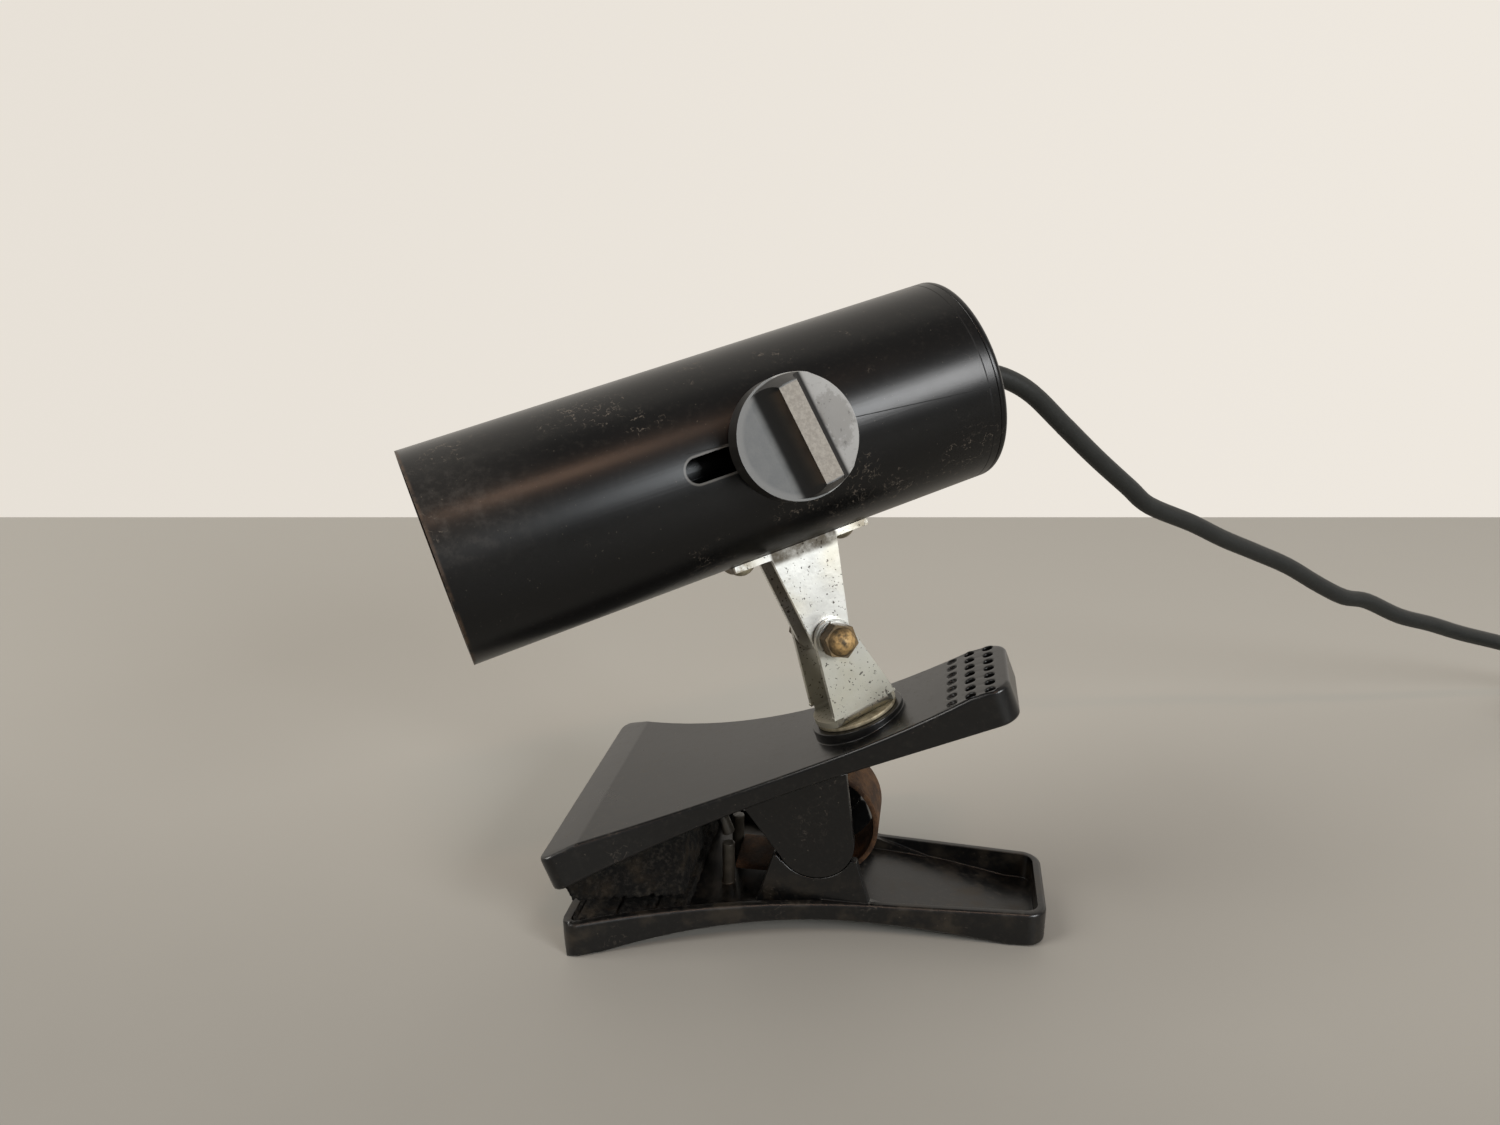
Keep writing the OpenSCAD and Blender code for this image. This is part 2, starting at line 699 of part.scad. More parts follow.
module sleeve_nut() {
    low = sleeve_r - sleeve_t - 3.6;
    color("#b9b7ae") on_knob() translate([0, 0, low]) difference() {
        cylinder(d = 7 / cos(30), h = 3.2, $fn = 6);
        translate([0, 0, -eps]) cylinder(r = stud_d / 2 + run_gap, h = 5, $fn = 40);
    }
}

module lampholder_shell() {
    bore = liner_r + seat_gap;
    back = holder_l - 5;
    color("#232324") on_axis() translate([0, 0, holder_x]) {
        linear_extrude(back - web_w) difference() {
            union() {
                circle(r = holder_r, $fn = 96);
                for (i = [0 : holder_ribs - 1]) rotate(i * 360 / holder_ribs)
                    translate([holder_r - eps, -0.5]) square([eps + rib_h, 1]);
            }
            circle(r = bore, $fn = 96);
        }
        rotate_extrude($fn = 96) {
            translate([bore, back - web_w - eps]) square([holder_r - bore, 5 + web_w + eps]);
            translate([3, liner_l + 6]) square([bore - 3 + eps, holder_l - liner_l - 6]);
            translate([holder_r - eps, back + seat_gap]) square([2.5, 2.4]);
        }
    }
}

module lampholder_liner() {
    color("#b58a45") on_axis() translate([0, 0, holder_x + 2]) difference() {
        cylinder(r = liner_r, h = liner_l, $fn = 72);
        translate([0, 0, -eps]) cylinder(r = lamp_d / 2, h = liner_l + 2 * eps, $fn = 72);
    }
}

module centre_contact() {
    color("#b58a45") on_axis() translate([0, 0, holder_x + liner_l + 3.5]) {
        translate([0, 0, 1.5]) cylinder(r = 2.9, h = holder_l - liner_l - 5, $fn = 40);
        translate([0, 0, -1]) cylinder(r = 4.5, h = 2.6, $fn = 40);
    }
}

module terminal_screws() {
    color("#b58a45") on_axis() translate([0, 0, holder_x + holder_l + seat_gap]) for (s = [-1, 1])
        translate([s * lead_gap, 0, 0]) cylinder(d = 4.6, h = terminal_h, $fn = 32);
}

// Focusing knob: a disc with a grip bar right across it, on a threaded stud
module focus_knob() {
    low = tube_r + 0.7;
    flank = grip_h * 1.05;
    color("#4d4f50") on_knob() rotate([0, 0, knob_deg]) difference() {
        union() {
            translate([0, 0, low]) cylinder(d = knob_d, h = knob_t, $fn = 120);
            intersection() {
                translate([0, 0, low + knob_t - eps])
                    cylinder(d1 = knob_d, d2 = knob_d - 2 * grip_slope, h = grip_h + eps, $fn = 120);
                rotate([90, 0, 0]) linear_extrude(knob_d + 2, center = true) difference() {
                    translate([-grip_w / 2 - flank, low + knob_t - eps])
                        square([grip_w + 2 * flank, grip_h + eps]);
                    for (s = [-1, 1]) translate([s * (grip_w / 2 + flank), low + knob_t + flank])
                        circle(r = flank, $fn = 72);
                }
            }
        }
        translate([0, 0, low - eps]) cylinder(r = stud_d / 2 + run_gap, h = knob_t + eps - 1, $fn = 40);
    }
}

module knob_stud() {
    low = sleeve_r - sleeve_t - 3.8;
    color("#b9b7ae") on_knob() translate([0, 0, low])
        cylinder(d = stud_d, h = tube_r + 0.7 + knob_t - 1 - seat_gap - low, $fn = 40);
}

// Swept tubes: rings of points along a route, joined into one closed solid
function unit(v) = v / norm(v);

function tangent_at(p, i) = unit(p[min(i + 1, len(p) - 1)] - p[max(i - 1, 0)]);

function ring(c, t, r, n) = let(s = unit(cross(t, [0, 0, 1])), u = cross(s, t))
    [for (k = [0 : n - 1]) c + r * (cos(360 * k / n) * s + sin(360 * k / n) * u)];

module swept(p, r, n) {
    rings = len(p);
    points = [for (i = [0 : rings - 1]) each ring(p[i], tangent_at(p, i), r, n)];
    sides = [
        for (i = [0 : rings - 2], k = [0 : n - 1], h = [0, 1])
            let(a = i * n + k, b = i * n + (k + 1) % n)
                h == 0 ? [a, b, a + n] : [b, b + n, a + n]
    ];
    start = [for (k = [1 : n - 2]) [0, k + 1, k]];
    last = (rings - 1) * n;
    finish = [for (k = [1 : n - 2]) [last, last + k, last + k + 1]];
    polyhedron(points, concat(sides, start, finish));
}

// Turns a direction and a point of the head into the part's frame
function turn_y(v, a) = [v.x * cos(a) - v.z * sin(a), v.y, v.x * sin(a) + v.z * cos(a)];
function turn_z(v, a) = [v.x * cos(a) - v.y * sin(a), v.x * sin(a) + v.y * cos(a), v.z];
function head_point(v) = [fulcrum_x, 0, fulcrum_h]
    + turn_y(
        [swivel_x, 0, fulcrum_h] + turn_z([-pivot_x, 0, pivot_h] + turn_y(v, tilt_deg), swivel_deg),
        jaw_deg
    );

exit_x = rear_x + seat_gap + cap_t + bush_out;
cord_exit = [for (x = [exit_x - 14, exit_x - 2, exit_x]) head_point([x, 0, axis_h])];
coil_start = [coil_at.x, coil_at.y + coil_out, coil_z];
cord_path = concat(cord_exit, route, [coil_start - [cord_d, 0, 0], coil_start]);

module flex_cord() {
    color("#2c302c") swept(cord_path, cord_r, 10);
}

// Leads from the end of the cord to the terminals of the lampholder
lead_gap = 7;
lead_points = 9;
lead_from = rear_x - clip_in - 4;
terminal_h = 2.2;
lead_to = holder_x + holder_l + 2 * seat_gap + terminal_h + free_gap;
function lead(s) = [for (i = [0 : lead_points - 1]) let(t = i / (lead_points - 1)) head_point([
    lead_from + (lead_to - lead_from) * t,
    3 * pow(sin(180 * t), 2),
    axis_h + s * (1.6 + (lead_gap - 1.6) * (1 - cos(180 * t)) / 2)
])];

module inner_leads() {
    color("#7a5a3a") for (s = [-1, 1]) swept(lead(s), 1.1, 8);
}

// The put-away length: a coil that spirals in on the table, climbs a layer and spirals out again
coil_turn_points = 24;
coil_end = 2 * coil_loops - 0.67;
tail_l = 28;
function coil_at_turn(v) = let(
        inward = coil_loops - 0.5,
        climb = min(max((v - inward) / 0.5, 0), 1),
        r = coil_in + coil_step * (max(inward - v, 0) + max(v - inward - 0.5, 0) - 0.25 * sin(180 * climb)),
        z = coil_z + coil_step * (1 - cos(180 * climb)) / 2
    ) [coil_at.x + r * sin(360 * v), coil_at.y + r * cos(360 * v), z];

coil_points = [for (i = [0 : coil_end * coil_turn_points]) coil_at_turn(i / coil_turn_points)];
coil_last = coil_points[len(coil_points) - 1];
coil_way = unit(coil_last - coil_points[len(coil_points) - 2]);
plug_axis_z = 7.2;
tail = [
    for (i = [1 : 4]) coil_last + coil_way * tail_l * i / 4
        + [0, 0, (plug_axis_z - coil_last.z) * (1 - cos(45 * i)) / 2]
];
coil_path = concat(
    [for (x = [seat_gap, cord_r / 2]) coil_start + [x, 0, 0]],
    [for (i = [1 : len(coil_points) - 1]) coil_points[i]], tail
);
coil_gap = min([
    for (i = [0 : len(coil_points) - 1], j = [0 : len(coil_points) - 1])
        if (j > i + coil_turn_points / 2) norm(coil_points[i] - coil_points[j])
]) - cord_d;
echo("least gap between the turns of the coil", coil_gap);

module flex_coil() {
    color("#2c302c") swept(coil_path, cord_r, 6);
}

// Tie: a flat band round the turns of the coil
tie_w = 8;
tie_t = 0.8;
module coil_tie() {
    inner = coil_in - 0.25 * coil_step - cord_r - 1.2;
    wide = coil_out - 0.75 * coil_step + cord_r + 0.6 - inner;
    high = coil_z + coil_step + cord_r + 0.6;
    color("#1f1f20") translate([coil_at.x - inner - wide, coil_at.y - tie_w / 2, 0]) difference() {
        translate([-tie_t, 0, seat_gap]) cube([wide + 2 * tie_t, tie_w, high + tie_t - seat_gap]);
        translate([0, -eps, seat_gap + tie_t]) cube([wide, tie_w + 2 * eps, high - seat_gap - tie_t]);
    }
}

// Mains plug: a flat two-pin moulding with a tapered relief at the cord
plug_at = coil_path[len(coil_path) - 1];
plug_deg = atan2(coil_way.y, coil_way.x);
plug_w = 26;
plug_h = 13.6;
plug_l = 34;
pin_d = 4;
pin_l = 19;
pin_gap = 18.6;

module in_plug() {
    translate([plug_at.x, plug_at.y, plug_axis_z]) rotate([0, 0, plug_deg]) children();
}

module plug_body() {
    color("#1b1b1c") in_plug() {
        translate([20, 0, 0]) difference() {
            translate([0, 0, -plug_h / 2]) linear_extrude(plug_h) polygon([
                [-6, -4.2], [4, -plug_w / 2 + 3], [10, -plug_w / 2], [plug_l - 8, -plug_w / 2],
                [plug_l - 8, plug_w / 2], [10, plug_w / 2], [4, plug_w / 2 - 3], [-6, 4.2]
            ]);
            for (s = [-1, 1]) translate([plug_l - 20, s * pin_gap / 2, 0]) rotate([0, 90, 0])
                cylinder(d = pin_d + 2 * run_gap, h = 20, $fn = 40);
        }
        rotate([0, 90, 0]) translate([0, 0, 0.1]) cylinder(r1 = cord_r + 1, r2 = 4.2, h = 15, $fn = 48);
    }
}

module plug_pins() {
    color("#c9c7be") in_plug() for (s = [-1, 1]) translate([20 + plug_l - 20 + seat_gap, s * pin_gap / 2, 0])
        rotate([0, 90, 0]) cylinder(d = pin_d, h = pin_l + 12, $fn = 40);
}

lower_arm();
lower_jaw_pad();
clamp_spring();
upper_arm();
upper_jaw_pad();
swivel_rivet();
swivel_washer();
swivel_bracket();
pivot_bolt();
dome_nut();
pivot_washers();
head_bracket();
bracket_rivets();
shade_tube();
rear_cap();
cord_bush();
cord_grip();
grip_screws();
inner_leads();
holder_sleeve();
lampholder_shell();
lampholder_liner();
centre_contact();
terminal_screws();
sleeve_nut();
focus_knob();
knob_stud();
flex_cord();
flex_coil();
coil_tie();
plug_body();
plug_pins();
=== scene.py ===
"""Clamp spotlight: looks of a tube shade on a sprung clamp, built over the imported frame."""

import json
import math

import bpy
from mathutils import Matrix, Vector


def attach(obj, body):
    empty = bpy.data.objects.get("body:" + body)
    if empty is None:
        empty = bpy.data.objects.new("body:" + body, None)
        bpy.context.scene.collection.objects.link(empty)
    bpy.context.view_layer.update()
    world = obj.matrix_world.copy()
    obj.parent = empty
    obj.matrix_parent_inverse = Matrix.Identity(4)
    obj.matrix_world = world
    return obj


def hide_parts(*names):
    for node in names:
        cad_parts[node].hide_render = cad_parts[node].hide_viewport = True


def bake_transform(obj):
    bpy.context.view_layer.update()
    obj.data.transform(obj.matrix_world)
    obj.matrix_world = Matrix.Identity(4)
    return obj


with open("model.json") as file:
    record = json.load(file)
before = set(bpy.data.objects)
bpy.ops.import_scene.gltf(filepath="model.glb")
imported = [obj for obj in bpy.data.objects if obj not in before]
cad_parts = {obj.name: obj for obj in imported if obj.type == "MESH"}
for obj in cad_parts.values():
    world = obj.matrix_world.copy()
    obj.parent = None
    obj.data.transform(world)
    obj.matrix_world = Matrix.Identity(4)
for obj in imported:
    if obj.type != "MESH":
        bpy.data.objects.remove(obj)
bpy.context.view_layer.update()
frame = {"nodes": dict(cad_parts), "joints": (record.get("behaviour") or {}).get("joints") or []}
nodes = frame["nodes"]
joints = {joint["name"]: joint for joint in frame["joints"]}
bpy.ops.object.select_all(action="DESELECT")

# Camera: a wide phone lens a little above the lamp, looking down and to the left.
# The picture is 1500 by 1125, so the sensor's width is what the lens is measured against.
camera = bpy.data.objects.new("camera", bpy.data.cameras.new("camera"))
camera.data.sensor_fit = "HORIZONTAL"
camera.data.sensor_width = 36
camera.data.lens = 27.09
camera.data.clip_start = 0.01
camera.location = (0.07393, -0.24079, 0.16144)
camera.rotation_euler = (math.radians(90 - 17.506), 0, math.radians(9.67))
bpy.context.collection.objects.link(camera)
bpy.context.scene.camera = camera
bpy.context.scene.view_settings.view_transform = "Standard"

# Cord: a round two-core flex in a dull dark green-grey sheath, from the cap down to the table.
# It sags out of the picture to the right, and is modelled in three lengths, one for each joint it crosses.
MM = 0.001
CORD_D = 4.8 * MM
axis_dir = -Vector(joints["focus_slide"]["axis"])
tilt_dir = Vector(joints["head_tilt"]["axis"])
head_up = axis_dir.cross(tilt_dir)
pivot = Vector(joints["head_tilt"]["pos_m"])
PIVOT_TO_REAR = 46.1 * MM
AXIS_H = 44.9 * MM
BUSH_L = 5.1 * MM
tube_rear = pivot + axis_dir * PIVOT_TO_REAR + head_up * AXIS_H
bush_end = tube_rear + axis_dir * BUSH_L
cord_route = [tube_rear - axis_dir * 9 * MM, tube_rear + axis_dir * 3 * MM, bush_end] + [
    Vector(point) * MM
    for point in (
        (82, 28.8, 124.4), (88, 32, 123), (95, 36.2, 118.8), (103.9, 43, 110), (113.2, 50, 100.8),
        (122.8, 57, 92), (129.5, 62, 86), (142.5, 70.5, 79.5), (152.5, 77, 73.8), (163.5, 84, 68.3),
        (174.5, 90.6, 62.7), (186, 97.3, 55.4), (195.2, 102.6, 50.3), (203.5, 107.6, 47.8), (216, 114.4, 41.3),
        (228, 121, 37), (240.5, 128, 32), (256.5, 136.4, 26.5), (271.5, 144, 21), (287.5, 151, 14.5),
        (302, 155.6, 7.5), (312.7, 156.95, 3.7), (317.5, 156.95, 3.7),
    )
]


def smooth_line(points, steps):
    """Points on a smooth curve through the given ones, with so many steps between two of them."""
    line = []
    for i in range(len(points) - 1):
        before, a, b, after = (points[max(0, min(len(points) - 1, i + k))] for k in (-1, 0, 1, 2))
        for s in range(steps):
            t = s / steps
            line.append(
                (2 * a + (b - before) * t + (2 * before - 5 * a + 4 * b - after) * t * t
                 + (3 * a - before - 3 * b + after) * t ** 3) / 2
            )
    return line + [points[-1]]


def make_tube(name, line, diameter):
    """A round tube along a line, as a closed mesh with a UV map that runs along it."""
    curve = bpy.data.curves.new(name, "CURVE")
    curve.dimensions = "3D"
    spline = curve.splines.new("POLY")
    spline.points.add(len(line) - 1)
    for point, place in zip(spline.points, line):
        point.co = (*place, 1)
    curve.bevel_depth = diameter / 2
    curve.bevel_resolution = 4
    curve.use_fill_caps = True
    bpy.ops.object.select_all(action="DESELECT")
    tube = bpy.data.objects.new(name, curve)
    bpy.context.collection.objects.link(tube)
    tube.select_set(True)
    bpy.context.view_layer.objects.active = tube
    bpy.ops.object.convert(target="MESH")
    tube = bpy.context.view_layer.objects.active
    bpy.ops.object.shade_smooth()
    return tube


def line_length(line):
    """Length of a line of points."""
    return sum((b - a).length for a, b in zip(line, line[1:]))


STEPS = 5
cord_line = smooth_line(cord_route, STEPS)
lead_cuts = (2 * STEPS, 6 * STEPS, 11 * STEPS, len(cord_line) - 1)
lead_rests = (6 * STEPS, 11 * STEPS, 17 * STEPS)
lead_bodies = (("head", "swivel"), ("swivel", "upper_arm"), ("upper_arm", "lower_arm"))
cord_leads = []
for letter, first, last, rest, pair in zip("abc", lead_cuts, lead_cuts[1:], lead_rests, lead_bodies):
    line = cord_line[first:last + 1]
    shown = cord_line[:last + 1] if letter == "a" else line
    lead = make_tube("cord_lead_" + letter, shown, CORD_D)
    line_length(shown)
    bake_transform(lead)
    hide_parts("flex_cord")
    cord_leads.append(lead)

# Put-away length: the same flex, wound in two layers, tied, and ended in a flat two-pin plug.
# It lies on the table past the right edge of the picture.
COIL_AT = Vector((317.5, 118.4)) * MM
COIL_IN = 20 * MM
COIL_STEP = 5.3 * MM
COIL_INWARD = 3.5
COIL_TURNS = 7.33
COIL_Z = 3.7 * MM
POINTS_A_TURN = 36
TAIL_L = 28 * MM
TAIL_STEPS = 8
PLUG_Z = 7.2 * MM


def coil_place(turn):
    """Point of the coil after so many turns: inward in the lower layer, then outward in the upper one."""
    climb = min(max((turn - COIL_INWARD) / 0.5, 0), 1)
    spread = max(COIL_INWARD - turn, 0) + max(turn - COIL_INWARD - 0.5, 0) - 0.25 * math.sin(math.pi * climb)
    radius = COIL_IN + COIL_STEP * spread
    angle = 2 * math.pi * turn
    rise = COIL_STEP * (1 - math.cos(math.pi * climb)) / 2
    return Vector((COIL_AT.x + radius * math.sin(angle), COIL_AT.y + radius * math.cos(angle), COIL_Z + rise))


coil_line = [coil_place(i / POINTS_A_TURN) for i in range(int(COIL_TURNS * POINTS_A_TURN))]
coil_line.append(coil_place(COIL_TURNS))
tail_dir = (coil_line[-1] - coil_line[-2]).normalized()
coil_end = coil_line[-1]
for i in range(1, TAIL_STEPS + 1):
    drop = (PLUG_Z - coil_end.z) * (1 - math.cos(math.pi * i / TAIL_STEPS)) / 2
    coil_line.append(coil_end + tail_dir * TAIL_L * i / TAIL_STEPS + Vector((0, 0, drop)))
cord_coil = make_tube("cord_coil", coil_line, CORD_D)
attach(cord_coil, "lower_arm")
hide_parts("flex_coil")
line_length(coil_line)


class Value:
    """A shader socket that adds Math nodes when it is used in an expression."""

    def __init__(self, finish, socket):
        self.finish = finish
        self.socket = socket

    def _math(self, operation, a, b):
        return self.finish.node("Math", {"operation": operation}, {0: a, 1: b})

    def __add__(self, other):
        return self._math("ADD", self, other)

    __radd__ = __add__

    def __sub__(self, other):
        return self._math("SUBTRACT", self, other)

    def __rsub__(self, other):
        return self._math("SUBTRACT", other, self)

    def __mul__(self, other):
        return self._math("MULTIPLY", self, other)

    __rmul__ = __mul__

    def __abs__(self):
        return self.finish.node("Math", {"operation": "ABSOLUTE"}, {0: self})

    def ridge(self, width):
        """1 along the lines on which the value passes one half, 0 further off than the width."""
        return 1 - abs(self - 0.5).between(0, width)

    def between(self, low, high):
        """0 below low, 1 above high and smooth between them."""
        settings = {"interpolation_type": "SMOOTHSTEP"}
        return self.finish.node("MapRange", settings, {"Value": self, "From Min": low, "From Max": high})


class Finish:
    """A material under one shader, with short calls for the nodes that feed it."""

    def __init__(self, name, metallic=0.0):
        self.material = bpy.data.materials.new(name)
        self.material.use_nodes = True
        self.tree = self.material.node_tree
        self.shader = self.tree.nodes["Principled BSDF"]
        self.shader.inputs["Metallic"].default_value = metallic
        self.place = self.node("TexCoord", {}, {}, output="Object")

    def node(self, kind, settings, inputs, output=0):
        node = self.tree.nodes.new("ShaderNode" + kind)
        for name, value in settings.items():
            setattr(node, name, value)
        for name, value in inputs.items():
            self.feed(node.inputs[name], value)
        return Value(self, node.outputs[output])

    def feed(self, socket, value):
        if isinstance(value, Value):
            self.tree.links.new(value.socket, socket)
        else:
            socket.default_value = value

    def set(self, **inputs):
        for name, value in inputs.items():
            self.feed(self.shader.inputs[name.replace("_", " ")], value)

    def noise(self, scale, detail=3.0, rough=0.55, stretch=None, seed=0.0):
        place = self.place
        if stretch or seed:
            sizes = {"Vector": place, "Scale": stretch or (1, 1, 1), "Location": (seed, 2 * seed, 3 * seed)}
            place = self.node("Mapping", {}, sizes)
        inputs = {"Vector": place, "Scale": scale, "Detail": detail, "Roughness": rough}
        return self.node("TexNoise", {}, inputs, output="Fac")

    def along(self, direction, start):
        """Distance from a start point, in metres, measured along a direction."""
        moved = self.node("VectorMath", {"operation": "SUBTRACT"}, {0: self.place, 1: start})
        return self.node("VectorMath", {"operation": "DOT_PRODUCT"}, {0: moved, 1: direction}, output="Value")

    def facing(self, direction):
        """How far the surface faces a direction, 1 being straight at it."""
        normal = self.node("TexCoord", {}, {}, output="Normal")
        return self.node("VectorMath", {"operation": "DOT_PRODUCT"}, {0: normal, 1: direction}, output="Value")

    def mix(self, amount, a, b):
        """A colour between a and b."""
        node = self.tree.nodes.new("ShaderNodeMix")
        node.data_type = "RGBA"
        self.feed(node.inputs[0], amount)
        for socket, value in ((node.inputs[6], a), (node.inputs[7], b)):
            self.feed(socket, value if isinstance(value, Value) else (*value, 1))
        return Value(self, node.outputs[2])

    def bump(self, height, strength, distance):
        inputs = {"Height": height, "Strength": strength, "Distance": distance}
        self.set(Normal=self.node("Bump", {}, inputs))


def put_on(finish, *pieces):
    """Gives the pieces one finish and no other."""
    for piece in pieces:
        piece.data.materials.clear()
        piece.data.materials.append(finish.material)


sheath = Finish("flex_sheath_dark")
sheath_haze = sheath.noise(260, 4)
sheath_fleck = sheath.noise(1500, 2, seed=3).between(0.62, 0.72)
sheath_pale = sheath_haze * 0.8 + sheath_fleck * 0.3
sheath.set(Base_Color=sheath.mix(sheath_pale, (0.007, 0.008, 0.0075), (0.022, 0.0235, 0.021)))
sheath.set(Roughness=0.45 + 0.22 * sheath_haze, Specular_IOR_Level=0.35)
sheath.bump(sheath.noise(900, 3) + 0.6 * sheath_fleck, 0.25, 0.0003)
put_on(sheath, *cord_leads, cord_coil)

# Clamp arms: two like trays moulded in black plastic, satin, with the wear of years in a workshop.
# Their fulcrum cheeks, spring bars and stop posts are part of the moulding.
# Places on an arm are in mm: along it from the fulcrum, across it, and in depth from its back.
BACK_H = 23
WALL_H = 8.7
ARM_MIDDLE = -0.9
JAW_END, JAW_WALL, JAW_HALF = -52.4, -50, 31
HANDLE_WALL = 48
DIMPLES_FROM, DIMPLES_HALF, DIMPLE_DEPTH = 34, 13.6, 1.7
ARM_ROUND = 0.9 * MM
DIMPLE_SHARE, BREAK_SHARE = 0.4, 0.28
WELD = 0.01 * MM


def shade_by_area(piece):
    """Adds shading in which large faces stay flat and only the roundings between them turn."""
    shade = piece.modifiers.new("shade", "WEIGHTED_NORMAL")
    shade.mode = "FACE_AREA"
    shade.weight = 60


def soften(node, width, angle=32, segments=2):
    """Rounds the sharp edges of a CAD node, once its triangles are joined into whole flat faces."""
    node.modifiers.new("join", "WELD").merge_threshold = WELD
    flat = node.modifiers.new("flat_faces", "DECIMATE")
    flat.decimate_type = "DISSOLVE"
    flat.angle_limit = math.radians(0.3)
    bevel = node.modifiers.new("round_edges", "BEVEL")
    bevel.width = width
    bevel.segments = segments
    bevel.limit_method = "ANGLE"
    bevel.angle_limit = math.radians(angle)
    shade_by_area(node)
    for face in node.data.polygons:
        face.use_smooth = True


def black_plastic(name, dust_amount, scuff_amount, grain=0.06, shine=0.32):
    """Satin black moulding: a grey haze, dust lying on upper faces, scuffs in patches and pale specks."""
    finish = Finish(name)
    haze = finish.noise(45, 5, 0.6)
    level = finish.facing((0, 0, 1)).between(0.1, 0.9)
    dust = finish.noise(700, 5, 0.7, seed=4).between(0.5, 0.8) * (0.25 + 0.75 * level)
    patch = finish.noise(70, 3, 0.5, seed=6).between(0.56, 0.66)
    broken = finish.noise(900, 2, seed=2).between(0.42, 0.6)
    scuff = finish.noise(330, 3, 0.6, seed=8).ridge(0.02) * patch * broken
    speck = finish.noise(1500, 2, 0.5, seed=11).between(0.72, 0.765)
    worn = finish.mix(dust * dust_amount, (0.0022, 0.0022, 0.0023), (0.045, 0.039, 0.031))
    worn = finish.mix(scuff * scuff_amount, worn, (0.12, 0.10, 0.08))
    finish.tone = finish.mix(speck * 0.35, worn, (0.14, 0.12, 0.095))
    finish.gloss = 0.24 + 0.1 * haze + 0.25 * dust * dust_amount + 0.2 * scuff
    finish.set(Base_Color=finish.tone, Roughness=finish.gloss, Specular_IOR_Level=shine)
    finish.bump(finish.noise(240, 3) + 0.4 * speck + 0.5 * scuff, grain, 0.0003)
    return finish


def own_copy(node_name, name):
    """A loose, welded copy of a CAD node's mesh, picked and active."""
    piece = bpy.data.objects.new(name, nodes[node_name].data.copy())
    bpy.context.collection.objects.link(piece)
    bpy.ops.object.select_all(action="DESELECT")
    piece.select_set(True)
    bpy.context.view_layer.objects.active = piece
    piece.modifiers.new("join", "WELD").merge_threshold = WELD
    bpy.ops.object.modifier_apply(modifier="join")
    return piece


def apply_all(piece):
    """Applies every modifier of the active piece, from the first to the last."""
    for modifier in [m.name for m in piece.modifiers]:
        bpy.ops.object.modifier_apply(modifier=modifier)


def select_verts(mesh, test):
    """In object mode, selects the vertices that pass a test, and the edges between them."""
    for face in mesh.polygons:
        face.select = False
    for edge in mesh.edges:
        edge.select = False
    for vertex in mesh.vertices:
        vertex.select = test(vertex.co)
    for edge in mesh.edges:
        edge.select = all(mesh.vertices[i].select for i in edge.vertices)


def round_arm(node_name, name, along, out, corner):
    """A clamp arm with its outer edges well rounded, its dimples softened and its other edges just broken.

    The corner weight is for the edges at the two corners of the jaw.
    """
    arm = own_copy(node_name, name)
    mesh = arm.data

    def spot(point):
        reach = point - fulcrum
        return reach.dot(along) / MM, point.y / MM, BACK_H - reach.dot(out) / MM

    def in_tail(point):
        x, y, depth = spot(point)
        return 27.5 < x < 28.5 and 15.1 < abs(y) < 15.6 and 3 < depth < 6

    # The thin tail of each cheek is merged into the tray wall that it runs along.
    select_verts(mesh, in_tail)
    bpy.ops.object.mode_set(mode="EDIT")
    bpy.ops.mesh.select_mode(type="VERT")
    bpy.ops.mesh.remove_doubles(threshold=0.4 * MM)
    bpy.ops.object.mode_set(mode="OBJECT")
    place = [spot(v.co) for v in mesh.vertices]
    beside = {}
    wall = {}
    for face in mesh.polygons:
        depths = [place[i][2] for i in face.vertices]
        x, y = (sum(place[i][k] for i in face.vertices) / len(face.vertices) for k in (0, 1))
        upright = abs(face.normal.dot(out)) < 0.5 and max(depths) < WALL_H and max(depths) - min(depths) > 1.5
        outward = face.normal.dot(along) * (x - ARM_MIDDLE) + face.normal.y * y > 0
        wall[face.index] = upright and outward and (abs(y) > 11 or x < JAW_WALL or x > HANDLE_WALL)
        for key in face.edge_keys:
            beside.setdefault(key, []).append(face)
    weight = mesh.attributes.new("bevel_weight_edge", "FLOAT", "EDGE")
    for edge in mesh.edges:
        faces = beside.get(edge.key, [])
        if len(faces) != 2 or faces[0].normal.dot(faces[1].normal) > math.cos(math.radians(30)):
            continue
        walls = sum(wall[face.index] for face in faces)
        ends = [place[i] for i in edge.vertices]
        if walls == 2:
            amount = 0
        elif walls == 1:
            amount = corner if all(x < JAW_END and abs(y) > JAW_HALF for x, y, depth in ends) else 1
        elif all(x > DIMPLES_FROM and depth < DIMPLE_DEPTH and abs(y) < DIMPLES_HALF for x, y, depth in ends):
            amount = DIMPLE_SHARE
        else:
            amount = BREAK_SHARE
        weight.data[edge.index].value = amount
    bevel = arm.modifiers.new("round_edges", "BEVEL")
    bevel.width = ARM_ROUND
    bevel.segments = 4
    bevel.limit_method = "WEIGHT"
    bevel.use_clamp_overlap = False
    bevel.loop_slide = False
    shade_by_area(arm)
    bpy.ops.object.shade_smooth()
    apply_all(arm)
    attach(arm, node_name)
    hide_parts(node_name)
    return arm


